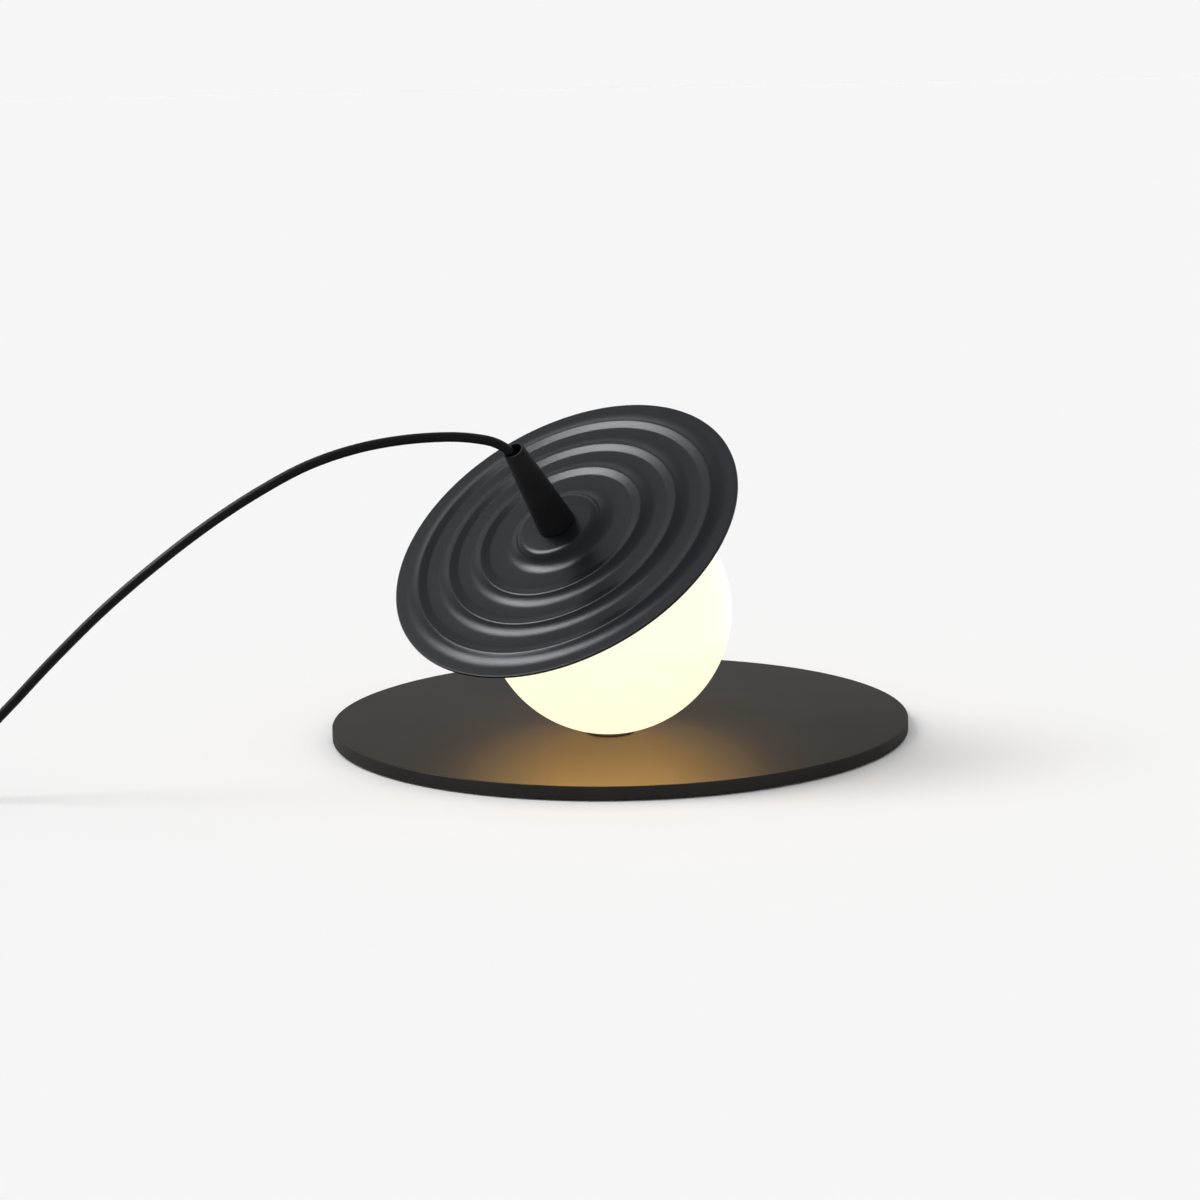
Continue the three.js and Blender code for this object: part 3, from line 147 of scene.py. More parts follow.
def turned_tree():
    """Turns an outline of points in the XZ plane about Z."""
    build = Tree("Turned outline", "GeometryNodeTree")
    outline = build.takes("Outline", "NodeSocketGeometry")
    facets = build.takes("Facets", "NodeSocketInt", 64)
    finish = build.takes("Finish", "NodeSocketMaterial")
    size = build.add("GeometryNodeAttributeDomainSize", {"Geometry": outline})
    rows = build.maths("ADD", facets, 1)
    grid = build.add("GeometryNodeMeshGrid", {"Vertices X": size.outputs["Point Count"], "Vertices Y": rows})
    index = build.add("GeometryNodeInputIndex").outputs["Index"]
    column = build.maths("FLOOR", build.maths("DIVIDE", index, rows))
    row = build.maths("SUBTRACT", index, build.maths("MULTIPLY", column, rows))
    point = build.add(
        "GeometryNodeSampleIndex",
        {"Geometry": outline, "Index": column},
        data_type="FLOAT_VECTOR",
    )
    build.feed(point.inputs["Value"], build.add("GeometryNodeInputPosition").outputs["Position"])
    angle = build.maths("DIVIDE", build.maths("MULTIPLY", row, TURN), facets)
    swung = build.add(
        "ShaderNodeVectorRotate",
        {"Vector": point.outputs["Value"], "Angle": angle},
        rotation_type="Z_AXIS",
    )
    placed = build.add(
        "GeometryNodeSetPosition",
        {"Geometry": grid.outputs["Mesh"], "Position": swung.outputs["Vector"]},
    )
    closed = build.add(
        "GeometryNodeMergeByDistance",
        {"Geometry": placed.outputs["Geometry"], "Distance": WELD_DISTANCE * MM},
    )
    smooth = build.add("GeometryNodeSetShadeSmooth", {"Geometry": closed.outputs["Geometry"]})
    real = build.add("GeometryNodeRealizeInstances", {"Geometry": smooth.outputs["Geometry"]})
    coated = build.add(
        "GeometryNodeSetMaterial",
        {"Geometry": real.outputs["Geometry"], "Material": finish},
    )
    build.gives("Geometry", "NodeSocketGeometry", coated.outputs["Geometry"])
    return build.tree


def rippled_tree(turning):
    """Repeats one ripple's section outwards, adds the plain outline after it, and turns the whole."""
    build = Tree("Rippled disc", "GeometryNodeTree")
    section = build.takes("Section", "NodeSocketGeometry")
    per_ripple = build.takes("Points in a Ripple", "NodeSocketInt", 20)
    ripples = build.takes("Ripples", "NodeSocketInt", 3)
    pitch = build.takes("Pitch", "NodeSocketFloat")
    crest_radius = build.takes("First Crest Radius", "NodeSocketFloat")
    crest_height = build.takes("First Crest Height", "NodeSocketFloat")
    crest_drop = build.takes("Crest Drop", "NodeSocketFloat")
    depth = build.takes("Ripple Depth", "NodeSocketFloat")
    fall_width = build.takes("Fall Width", "NodeSocketFloat")
    last_fall_share = build.takes("Last Fall Share", "NodeSocketFloat", 1.0)
    rise_width = build.takes("Rise Width", "NodeSocketFloat")
    boss_radius = build.takes("Boss Radius", "NodeSocketFloat")
    boss_height = build.takes("Boss Height", "NodeSocketFloat")
    rim_radius = build.takes("Rim Radius", "NodeSocketFloat")
    rim_height = build.takes("Rim Height", "NodeSocketFloat")
    facets = build.takes("Facets", "NodeSocketInt", 256)
    finish = build.takes("Finish", "NodeSocketMaterial")

    # Which ripple each point of the outline is in, and which point of the section it repeats
    index = build.add("GeometryNodeInputIndex").outputs["Index"]
    unit = build.maths("FLOOR", build.maths("DIVIDE", index, per_ripple))
    falls = build.maths("ADD", ripples, 1)
    in_ripples = build.maths("LESS_THAN", unit, falls)
    rippled_points = build.maths("MULTIPLY", falls, per_ripple)
    beyond = build.maths("ADD", build.maths("SUBTRACT", index, rippled_points), per_ripple)
    within = build.maths("SUBTRACT", index, build.maths("MULTIPLY", unit, per_ripple))
    source = build.either(in_ripples, beyond, within)

    def sampled(field, kind):
        node = build.add("GeometryNodeSampleIndex", {"Geometry": section, "Index": source}, data_type=kind)
        build.feed(node.inputs["Value"], field)
        return node.outputs["Value"]

    position = build.add("GeometryNodeInputPosition").outputs["Position"]
    rising_mark = build.add("GeometryNodeInputNamedAttribute", {"Name": "rising"}, data_type="FLOAT")
    rising = sampled(rising_mark.outputs["Attribute"], "FLOAT")
    apart = build.add("ShaderNodeSeparateXYZ", {"Vector": sampled(position, "FLOAT_VECTOR")})
    across = apart.outputs["X"]
    up = apart.outputs["Z"]

    # Where that ripple starts and ends, with the boss before the first and the lip after the last
    first = build.maths("LESS_THAN", unit, 0.5)
    last = build.maths("GREATER_THAN", unit, build.maths("SUBTRACT", ripples, 0.5))
    before = build.maths("SUBTRACT", unit, 1)
    start_radius = build.either(first, build.maths("MULTIPLY_ADD", before, pitch, crest_radius), boss_radius)
    fallen = build.maths("SUBTRACT", crest_height, build.maths("MULTIPLY", before, crest_drop))
    start_height = build.either(first, fallen, boss_height)
    next_radius = build.either(last, build.maths("MULTIPLY_ADD", unit, pitch, crest_radius), rim_radius)
    next_crest = build.maths("SUBTRACT", crest_height, build.maths("MULTIPLY", unit, crest_drop))
    next_height = build.either(last, next_crest, rim_height)
    rise = build.maths("SUBTRACT", depth, crest_drop)
    floor = build.either(last, build.maths("SUBTRACT", next_crest, rise), rim_height)

    # The section's point, stretched to that ripple
    fall_scale = build.maths("DIVIDE", build.maths("SUBTRACT", start_height, floor), depth)
    stretch = build.either(last, 1.0, last_fall_share)
    across_scale = build.maths("MULTIPLY", fall_scale, stretch)
    fall_x = build.maths("MULTIPLY_ADD", across, across_scale, start_radius)
    fall_z = build.maths("MULTIPLY_ADD", up, fall_scale, start_height)
    fallen_width = build.maths("MULTIPLY", fall_width, across_scale)
    room = build.maths("SUBTRACT", build.maths("SUBTRACT", next_radius, start_radius), fallen_width)
    rise_share = build.maths("MINIMUM", build.maths("DIVIDE", room, rise_width), 1)
    rise_x = build.maths("MULTIPLY_ADD", across, rise_share, next_radius)
    rise_scale = build.maths("DIVIDE", build.maths("SUBTRACT", next_height, floor), rise)
    rise_z = build.maths("MULTIPLY_ADD", up, rise_scale, next_height)
    radius = build.either(in_ripples, across, build.either(rising, fall_x, rise_x))
    height = build.either(in_ripples, up, build.either(rising, fall_z, rise_z))

    # The outline as a line of points, turned about Z
    size = build.add("GeometryNodeAttributeDomainSize", {"Geometry": section})
    plain_points = build.maths("SUBTRACT", size.outputs["Point Count"], per_ripple)
    line = build.add("GeometryNodeMeshLine", {"Count": build.maths("ADD", rippled_points, plain_points)})
    point = build.add("ShaderNodeCombineXYZ", {"X": radius, "Z": height})
    outline = build.add(
        "GeometryNodeSetPosition",
        {"Geometry": line.outputs["Mesh"], "Position": point.outputs["Vector"]},
    )
    turned = build.add("GeometryNodeGroup", node_tree=turning)
    build.feed(turned.inputs["Outline"], outline.outputs["Geometry"])
    build.feed(turned.inputs["Facets"], facets)
    build.feed(turned.inputs["Finish"], finish)
    real = build.add("GeometryNodeRealizeInstances", {"Geometry": turned.outputs["Geometry"]})
    coated = build.add(
        "GeometryNodeSetMaterial",
        {"Geometry": real.outputs["Geometry"], "Material": finish},
    )
    build.gives("Geometry", "NodeSocketGeometry", coated.outputs["Geometry"])
    return build.tree


def ridge_tree():
    """Sets copies of one ridge in a row."""
    build = Tree("Row of ridges", "GeometryNodeTree")
    ridge = build.takes("Ridge", "NodeSocketGeometry")
    count = build.takes("Count", "NodeSocketInt", 4)
    spacing = build.takes("Spacing", "NodeSocketFloat", 2 * MM)
    start = build.takes("Start", "NodeSocketFloat")
    finish = build.takes("Finish", "NodeSocketMaterial")
    first = build.add("ShaderNodeCombineXYZ", {"X": start})
    step = build.add("ShaderNodeCombineXYZ", {"X": spacing})
    line = build.add(
        "GeometryNodeMeshLine",
        {"Count": count, "Start Location": first.outputs["Vector"], "Offset": step.outputs["Vector"]},
    )
    row = build.add("GeometryNodeInstanceOnPoints", {"Points": line.outputs["Mesh"], "Instance": ridge})
    real = build.add("GeometryNodeRealizeInstances", {"Geometry": row.outputs["Instances"]})
    smooth = build.add("GeometryNodeSetShadeSmooth", {"Geometry": real.outputs["Geometry"]})
    coated = build.add(
        "GeometryNodeSetMaterial",
        {"Geometry": smooth.outputs["Geometry"], "Material": finish},
    )
    build.gives("Geometry", "NodeSocketGeometry", coated.outputs["Geometry"])
    return build.tree


# Shader groups and finishes

def grain_group():
    """Fine surface grain and slow mottling on Object coordinates. Sizes are in metres."""
    build = Tree("Grain", "ShaderNodeTree")
    grain_size = build.takes("Grain Size", "NodeSocketFloat", 0.5 * MM)
    depth = build.takes("Depth", "NodeSocketFloat", 0.02 * MM)
    mottle_size = build.takes("Mottle Size", "NodeSocketFloat", 20 * MM)
    place = build.add("ShaderNodeTexCoord").outputs["Object"]
    scale = build.maths("DIVIDE", 1, grain_size)
    fine = build.add(
        "ShaderNodeTexNoise",
        {"Vector": place, "Scale": scale, "Detail": 2.0, "Roughness": 0.55},
    )
    slow_scale = build.maths("DIVIDE", 1, mottle_size)
    slow = build.add("ShaderNodeTexNoise", {"Vector": place, "Scale": slow_scale, "Detail": 3.0})
    bump = build.add("ShaderNodeBump", {"Height": fine.outputs["Fac"], "Distance": depth, "Strength": 1.0})
    build.gives("Normal", "NodeSocketVector", bump.outputs["Normal"])
    build.gives("Speck", "NodeSocketFloat", fine.outputs["Fac"])
    build.gives("Mottle", "NodeSocketFloat", slow.outputs["Fac"])
    return build.tree


def brushed_group():
    """Fine straight scratches along one direction."""
    build = Tree("Brushed", "ShaderNodeTree")
    stretch = build.takes("Stretch", "NodeSocketVector", (1, 1, 1))
    depth = build.takes("Depth", "NodeSocketFloat", 0.004 * MM)
    place = build.add("ShaderNodeTexCoord").outputs["Object"]
    drawn = build.add("ShaderNodeVectorMath", {0: place, 1: stretch}, operation="MULTIPLY")
    lines = build.add("ShaderNodeTexNoise", {"Vector": drawn.outputs["Vector"], "Scale": 1.0, "Detail": 3.0})
    bump = build.add("ShaderNodeBump", {"Height": lines.outputs["Fac"], "Distance": depth, "Strength": 1.0})
    build.gives("Normal", "NodeSocketVector", bump.outputs["Normal"])
    build.gives("Streak", "NodeSocketFloat", lines.outputs["Fac"])
    return build.tree


def set_inputs(node, values):
    """Sets a node's own inputs, with an underline for each space in their names."""
    for name, value in values.items():
        node.inputs[name.replace("_", " ")].default_value = value


class Finish:
    """One material on the Principled shader, with links added where the finish varies."""

    def __init__(self, name, **values):
        self.material = bpy.data.materials.new(name)
        self.material.use_nodes = True
        self.material.diffuse_color = values["Base_Color"]
        self.nodes = self.material.node_tree.nodes
        self.links = self.material.node_tree.links
        self.shader = self.nodes["Principled BSDF"]
        set_inputs(self.shader, values)

    def group(self, tree, **values):
        node = self.nodes.new("ShaderNodeGroup")
        node.node_tree = tree
        set_inputs(node, values)
        return node

    def ramp(self, source, target, low, high, start=0.3, end=0.7):
        """A socket of the shader that goes from low to high as source goes from start to end."""
        if isinstance(low, (int, float)):
            node = self.nodes.new("ShaderNodeMapRange")
            self.links.new(source, node.inputs["Value"])
            node.inputs["From Min"].default_value = start
            node.inputs["From Max"].default_value = end
            node.inputs["To Min"].default_value = low
            node.inputs["To Max"].default_value = high
            self.links.new(node.outputs["Result"], self.shader.inputs[target])
            return
        node = self.nodes.new("ShaderNodeValToRGB")
        self.links.new(source, node.inputs["Fac"])
        node.color_ramp.elements[0].position = start
        node.color_ramp.elements[0].color = low
        node.color_ramp.elements[1].position = end
        node.color_ramp.elements[1].color = high
        self.links.new(node.outputs["Color"], self.shader.inputs[target])


def grained(name, grain, low, high, roughness, size, depth, mottle, **values):
    """A coat or moulding: two close colours by the mottle, a range of roughness, and a bumped grain.

    The size and depth of the grain and the size of the mottle are millimetres."""
    finish = Finish(name, Base_Color=high, Roughness=roughness[1], **values)
    node = finish.group(grain, Grain_Size=size * MM, Depth=depth * MM, Mottle_Size=mottle * MM)
    finish.ramp(node.outputs["Mottle"], "Base Color", low, high)
    finish.ramp(node.outputs["Speck"], "Roughness", *roughness)
    finish.links.new(node.outputs["Normal"], finish.shader.inputs["Normal"])
    return finish.material


def brushed_metal(name, brushed, low, high, roughness, stretch):
    """Metal with fine scratches: stretch gives their count in a metre along each axis."""
    finish = Finish(name, Base_Color=high, Roughness=roughness[1], Metallic=1.0)
    node = finish.group(brushed, Stretch=stretch)
    finish.ramp(node.outputs["Streak"], "Base Color", low, high)
    finish.ramp(node.outputs["Streak"], "Roughness", *roughness)
    finish.links.new(node.outputs["Normal"], finish.shader.inputs["Normal"])
    return finish.material


def grey(value):
    return (value, value, value, 1)


# The globe's glow changes along a slanting line, set from the globe's centre
GLOW_START = (-55, -30)
GLOW_LENGTH = 115
GLOW_SLANT = math.radians(-28)
GLOW_COLOURS = ((0.9, 0.89, 0.7, 1), (0.89, 0.88, 0.69, 1))


def opal_finish(grain):
    """Opal glass lit from inside, a touch dimmer high on the right."""
    finish = Finish(
        "lit_opal_glass",
        Base_Color=(0.22, 0.21, 0.18, 1),
        Roughness=0.3,
        IOR=1.5,
        Emission_Strength=1.0,
    )
    place = finish.nodes.new("ShaderNodeTexCoord")
    gradient = finish.nodes.new("ShaderNodeMapping")
    gradient.vector_type = "TEXTURE"
    start = Vector((globe_centre.x + GLOW_START[0], 0, globe_centre.z + GLOW_START[1])) * MM
    gradient.inputs["Location"].default_value = start
    gradient.inputs["Rotation"].default_value = (0, GLOW_SLANT, 0)
    gradient.inputs["Scale"].default_value = (GLOW_LENGTH * MM, 1, 1)
    finish.links.new(place.outputs["Object"], gradient.inputs["Vector"])
    apart = finish.nodes.new("ShaderNodeSeparateXYZ")
    finish.links.new(gradient.outputs["Vector"], apart.inputs["Vector"])
    finish.ramp(apart.outputs["X"], "Emission Color", *GLOW_COLOURS, 0.0, 1.0)
    node = finish.group(grain, Grain_Size=9 * MM, Depth=0.02 * MM, Mottle_Size=30 * MM)
    finish.ramp(node.outputs["Mottle"], "Roughness", 0.24, 0.34)
    finish.links.new(node.outputs["Normal"], finish.shader.inputs["Normal"])
    return finish.material


def lamp_glass_finish(grain):
    finish = Finish(
        "frosted_lamp_glass",
        Base_Color=(0.85, 0.8, 0.66, 1),
        Roughness=0.5,
        Emission_Strength=1.0,
        Emission_Color=(0.9, 0.78, 0.5, 1),
    )
    frost = finish.group(grain, Grain_Size=0.4 * MM, Depth=0.01 * MM, Mottle_Size=8 * MM)
    finish.ramp(frost.outputs["Speck"], "Roughness", 0.42, 0.6)
    finish.links.new(frost.outputs["Normal"], finish.shader.inputs["Normal"])
    return finish.material


def cord_finish(grain):
    """Black cord jacket: smooth, with faint drawn lines along its length from the piece's own UV map."""
    finish = Finish("cord_jacket", Base_Color=grey(0.004), Roughness=0.4, Specular_IOR_Level=0.09)
    along = finish.nodes.new("ShaderNodeUVMap")
    along.uv_map = "along"
    drawn = finish.nodes.new("ShaderNodeMapping")
    drawn.inputs["Scale"].default_value = (9, 6, 1)
    finish.links.new(along.outputs["UV"], drawn.inputs["Vector"])
    lines = finish.nodes.new("ShaderNodeTexNoise")
    set_inputs(lines, {"Scale": 4.0, "Detail": 2.0})
    finish.links.new(drawn.outputs["Vector"], lines.inputs["Vector"])
    finish.ramp(lines.outputs["Fac"], "Roughness", 0.34, 0.48)
    node = finish.group(grain, Grain_Size=0.35 * MM, Depth=0.006 * MM, Mottle_Size=15 * MM)
    finish.ramp(node.outputs["Mottle"], "Base Color", grey(0.0024), grey(0.0036))
    bump = finish.nodes.new("ShaderNodeBump")
    bump.inputs["Distance"].default_value = 0.01 * MM
    finish.links.new(lines.outputs["Fac"], bump.inputs["Height"])
    finish.links.new(node.outputs["Normal"], bump.inputs["Normal"])
    finish.links.new(bump.outputs["Normal"], finish.shader.inputs["Normal"])
    return finish.material


def make_finishes():
    grain = grain_group()
    brushed = brushed_group()
    return {
        "slate": grained(
            "slate_coat", grain,
            low=(0.0066, 0.0078, 0.0106, 1), high=(0.0088, 0.0102, 0.0136, 1), roughness=(0.2, 0.27),
            size=0.55, depth=0.06, mottle=35, Specular_IOR_Level=0.12,
        ),
        "plate": grained(
            "warm_dark_coat", grain,
            low=(0.0175, 0.0166, 0.015, 1), high=(0.022, 0.0209, 0.0189, 1), roughness=(0.58, 0.7),
            size=0.4, depth=0.02, mottle=60, Specular_IOR_Level=0.0, Coat_Weight=0.17, Coat_Roughness=0.3,
        ),
        "cone": grained(
            "matt_black_coat", grain,
            low=grey(0.0062), high=grey(0.0078), roughness=(0.46, 0.58),
            size=0.3, depth=0.01, mottle=12, Specular_IOR_Level=0.09,
        ),
        "plastic": grained(
            "moulded_black_plastic", grain,
            low=grey(0.011), high=grey(0.014), roughness=(0.42, 0.58),
            size=0.35, depth=0.02, mottle=18, Specular_IOR_Level=0.5,
        ),
        "rubber": grained(
            "foot_rubber", grain,
            low=grey(0.01), high=grey(0.015), roughness=(0.78, 0.92),
            size=0.5, depth=0.03, mottle=25,
        ),
        "silicone": grained(
            "milky_silicone", grain,
            low=(0.62, 0.6, 0.54, 1), high=(0.7, 0.68, 0.62, 1), roughness=(0.42, 0.58),
            size=0.8, depth=0.02, mottle=9,
        ),
        "ceramic": grained(
            "unglazed_ceramic", grain,
            low=(0.82, 0.79, 0.74, 1), high=(0.88, 0.86, 0.82, 1), roughness=(0.55, 0.75),
            size=0.3, depth=0.015, mottle=8,
        ),
        "zinc": brushed_metal(
            "zinc_steel", brushed,
            low=(0.5, 0.5, 0.51, 1), high=(0.62, 0.62, 0.63, 1), roughness=(0.26, 0.42),
            stretch=(900, 900, 90),
        ),
        "brass": brushed_metal(
            "plain_brass", brushed,
            low=(0.56, 0.38, 0.12, 1), high=(0.66, 0.46, 0.16, 1), roughness=(0.22, 0.36),
            stretch=(1500, 120, 1500),
        ),
        "brown": grained(
            "brown_core", grain,
            low=(0.12, 0.045, 0.016, 1), high=(0.15, 0.06, 0.022, 1), roughness=(0.4, 0.5),
            size=0.3, depth=0.01, mottle=5,
        ),
        "blue": grained(
            "blue_core", grain,
            low=(0.02, 0.07, 0.24, 1), high=(0.03, 0.09, 0.3, 1), roughness=(0.4, 0.5),
            size=0.3, depth=0.01, mottle=5,
        ),
        "strap": grained(
            "woven_strap", grain,
            low=grey(0.01), high=grey(0.022), roughness=(0.8, 0.95),
            size=0.45, depth=0.12, mottle=3,
        ),
        "bulb": lamp_glass_finish(grain),
        "opal": opal_finish(grain),
        "cord": cord_finish(grain),
    }


# Making pieces

def new_piece(name, mesh):
    piece = bpy.data.objects.new(name, mesh)
    bpy.context.scene.collection.objects.link(piece)
    return piece


def polyline(name, points):
    """Points of [across, up] in millimetres as a line of vertices in the XZ plane."""
    mesh = bpy.data.meshes.new(name)
    places = [(x * MM, 0, z * MM) for x, z in points]
    mesh.from_pydata(places, [(i, i + 1) for i in range(len(points) - 1)], [])
    return mesh


def settled(piece):
    """The piece with its modifiers made into its mesh."""
    bpy.context.view_layer.update()
    evaluated = piece.evaluated_get(bpy.context.evaluated_depsgraph_get())
    mesh = bpy.data.meshes.new_from_object(evaluated)
    piece.modifiers.clear()
    piece.data = mesh
    mesh.name = piece.name
    return piece


def grown(name, mesh, tree, **values):
    """A piece that a geometry tree makes from a mesh."""
    piece = new_piece(name, mesh)
    modifier = piece.modifiers.new("Making", "NODES")
    modifier.node_group = tree
    for item in tree.interface.items_tree:
        wanted = item.name.replace(" ", "_")
        if item.in_out == "INPUT" and wanted in values:
            modifier[item.identifier] = values[wanted]
    return settled(piece)


def tidy_faces(piece, sharp=30):
    """Joins doubles, turns the faces outwards and marks the edges that stay crisp."""
    work = bmesh.new()
    work.from_mesh(piece.data)
    bmesh.ops.remove_doubles(work, verts=work.verts, dist=WELD_DISTANCE * MM)
    bmesh.ops.recalc_face_normals(work, faces=work.faces)
    work.to_mesh(piece.data)
    work.free()
    for face in piece.data.polygons:
        face.use_smooth = True
    piece.data.set_sharp_from_angle(angle=math.radians(sharp))
    return piece


def closed_outline(points):
    """The outline brought back to its start, unless both of its ends are on the axis."""
    ends_on_axis = points[0][0] == 0 and points[-1][0] == 0
    return points if ends_on_axis else [*points, points[0]]


def turned(name, outline, finish, place=None, facets=96, sharp=30):
    """A turned piece from its half outline of [radius, height] points, set by a matrix in millimetres."""
    mesh = polyline(name, closed_outline(outline))
    piece = grown(name, mesh, turning, Facets=facets, Finish=finish)
    if place is not None:
        piece.data.transform(in_metres(place))
    return tidy_faces(piece, sharp)


def in_metres(place):
    """A placing matrix with its millimetres made metres."""
    moved = place.copy()
    moved.translation = place.translation * MM
    return moved


def bent(start, corner, end, share):
    """A point of the curve that leaves start towards corner and turns to reach end."""
    return start * (1 - share) ** 2 + corner * (2 * share * (1 - share)) + end * share * share


def softened(outline, corners, steps=4):
    """The outline with some corners rounded: corners maps a point's number to the length cut there."""
    result = []
    for number, point in enumerate(outline):
        if number not in corners:
            result.append(point)
            continue
        here = Vector(point)
        before = Vector(outline[number - 1])
        after = Vector(outline[(number + 1) % len(outline)])
        start = here + (before - here).normalized() * corners[number]
        end = here + (after - here).normalized() * corners[number]
        result += [tuple(bent(start, here, end, step / steps)) for step in range(steps + 1)]
    return result


def arc(across, up, radius, start, end, steps):
    """Points round part of a circle, from one angle to the other."""
    turns = [start + (end - start) * i / steps for i in range(steps + 1)]
    return [(across + radius * math.cos(a), up + radius * math.sin(a)) for a in turns]


def rod(radius, low, high):
    """The half outline of a plain rod."""
    return [(0, low), (radius, low), (radius, high), (0, high)]


def rounded_outline(length, width, corner, steps=8):
    """A rectangle round the origin with rounded corners."""
    result = []
    for quarter, (sx, sy) in enumerate(((1, 1), (-1, 1), (-1, -1), (1, -1))):
        x = sx * (length / 2 - corner)
        y = sy * (width / 2 - corner)
        result += arc(x, y, corner, quarter * QUARTER, (quarter + 1) * QUARTER, steps)
    return result


def lofted(name, layers, finish, place=None):
    """A closed piece through outlines of equal point count: layers of (height, outline)."""
    work = bmesh.new()
    rings = [[work.verts.new((x * MM, y * MM, z * MM)) for x, y in outline] for z, outline in layers]
    count = len(rings[0])
    for low, high in zip(rings, rings[1:]):
        for i in range(count):
            j = (i + 1) % count
            work.faces.new((low[i], low[j], high[j], high[i]))
    work.faces.new(rings[0][::-1])
    work.faces.new(rings[-1])
    mesh = bpy.data.meshes.new(name)
    work.to_mesh(mesh)
    work.free()
    mesh.materials.append(finish)
    if place is not None:
        mesh.transform(in_metres(place))
    return tidy_faces(new_piece(name, mesh))


def shaped(piece, tools, operation="DIFFERENCE", sharp=30):
    """The piece cut by tools, or joined with them, and the tools removed."""
    for tool in tools:
        modifier = piece.modifiers.new("Cut", "BOOLEAN")
        modifier.operation = operation
        modifier.object = tool
        modifier.solver = "EXACT"
    settled(piece)
    for tool in tools:
        bpy.data.objects.remove(tool)
    return tidy_faces(piece, sharp)


def eased(piece, width, segments=3, angle=35):
    """The piece with its crisp edges rounded."""
    modifier = piece.modifiers.new("Eased", "BEVEL")
    modifier.width = width * MM
    modifier.segments = segments
    modifier.limit_method = "ANGLE"
    modifier.angle_limit = math.radians(angle)
    return tidy_faces(settled(piece))


def rides(piece, body, nodes):
    """Ties a piece to its body and hides the CAD nodes that it stands for."""
    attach(piece, body)
    if nodes:
        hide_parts(*nodes)
    return piece


# Cords

MM_IN_A_CENTIMETRE = 10


def smooth_route(points, per_span):
    """Points on the centripetal curve through a route, in millimetres."""
    knots = [Vector(p) for p in points]
    ends = [2 * knots[0] - knots[1], *knots, 2 * knots[-1] - knots[-2]]
    route = []
    for a, b, c, d in zip(ends, ends[1:], ends[2:], ends[3:]):
        first, middle, last = (math.sqrt((q - p).length) for p, q in ((a, b), (b, c), (c, d)))
        leave = ((b - a) / first - (c - a) / (first + middle) + (c - b) / middle) * middle
        arrive = ((c - b) / middle - (d - b) / (middle + last) + (d - c) / last) * middle
        for step in range(per_span):
            t = step / per_span
            route.append(
                b * (2 * t ** 3 - 3 * t ** 2 + 1)
                + leave * (t ** 3 - 2 * t ** 2 + t)
                + c * (3 * t ** 2 - 2 * t ** 3)
                + arrive * (t ** 3 - t ** 2)
            )
    route.append(knots[-1])
    return route


def tube(name, route, diameter, finish, sides=24):
    """A round tube along a route, with flat ends and a UV map that runs along it in centimetres."""
    last = len(route) - 1
    ways = [(route[min(i + 1, last)] - route[max(i - 1, 0)]).normalized() for i in range(last + 1)]
    side = ways[0].orthogonal().normalized()
    radius = diameter / 2
    work = bmesh.new()
    rings = []
    travelled = [0.0]
    for i, (place, way) in enumerate(zip(route, ways)):
        side = (side - way * side.dot(way)).normalized()
        over = way.cross(side)
        ring = []
        for s in range(sides):
            angle = TURN * s / sides
            outwards = side * math.cos(angle) + over * math.sin(angle)
            ring.append(work.verts.new((place + radius * outwards) * MM))
        rings.append(ring)
        if i:
            travelled.append(travelled[-1] + (route[i] - route[i - 1]).length)
    along = work.loops.layers.uv.new("along")
    for n, (low, high) in enumerate(zip(rings, rings[1:])):
        for s in range(sides):
            t = (s + 1) % sides
            face = work.faces.new((low[s], low[t], high[t], high[s]))
            face.smooth = True
            marks = ((s, n), (s + 1, n), (s + 1, n + 1), (s, n + 1))
            for loop, (round_step, length_step) in zip(face.loops, marks):
                loop[along].uv = (round_step / sides, travelled[length_step] / MM_IN_A_CENTIMETRE)
    work.faces.new(rings[0][::-1])
    work.faces.new(rings[-1])
    bmesh.ops.recalc_face_normals(work, faces=work.faces)
    mesh = bpy.data.meshes.new(name)
    work.to_mesh(mesh)
    work.free()
    mesh.materials.append(finish)
    mesh.set_sharp_from_angle(angle=math.radians(50))
    return new_piece(name, mesh)


CORD_DIAMETER = 4.8
CORD_START = 32.3
SWITCH_PLACE = (-383, -122)
SWITCH_LENGTH = 62
CORD_IN_SWITCH = 9
COIL_PLACE = (-412, -58)
COIL_PITCH = 5.5
COIL_OUTER = 34.75
COIL_INNER = 18.25
COIL_LOW = 3.5
TURNS_IN = 3
TURNS_OUT = 3.5
CLIMB_TURNS = 0.5
STEPS_IN_A_TURN = 48
PLUG_PLACE = (-450, 24)
PLUG_CORD_HEIGHT = 6.8


def on_axis(height):
    """The point on the head's axis at that height above the disc's rim."""
    return globe_centre + lean * (crown_height + height)


ARCH_ROUTE = [
    on_axis(CORD_START),
    on_axis(CORD_START + CORD_DIAMETER),
    on_axis(CORD_START + 3 * CORD_DIAMETER),
    (-48.7, -90, 156.5),
    (-52.7, -92.7, 161.8),
    (-58.9, -94.2, 165.5),
    (-67.5, -95.2, 167.6),
    (-79.8, -96.9, 168.9),
    (-102.7, -100.5, 168.3),
    (-125.6, -104.5, 164.8),
    (-148.5, -108.5, 157.7),
    (-171.5, -112.4, 146.2),
    (-194.6, -116.2, 132.1),
    (-217.7, -119.4, 115.6),
    (-245, -121.4, 93.6),
    (-272, -122, 68.4),
    (-296, -122, 44.1),
    (-315, -122, 26),
    (-331, -122, 14.6),
    (-344, -122, 9.6),
    (-352, -122, CORD_IN_SWITCH),
    (-357, -122, CORD_IN_SWITCH),
]
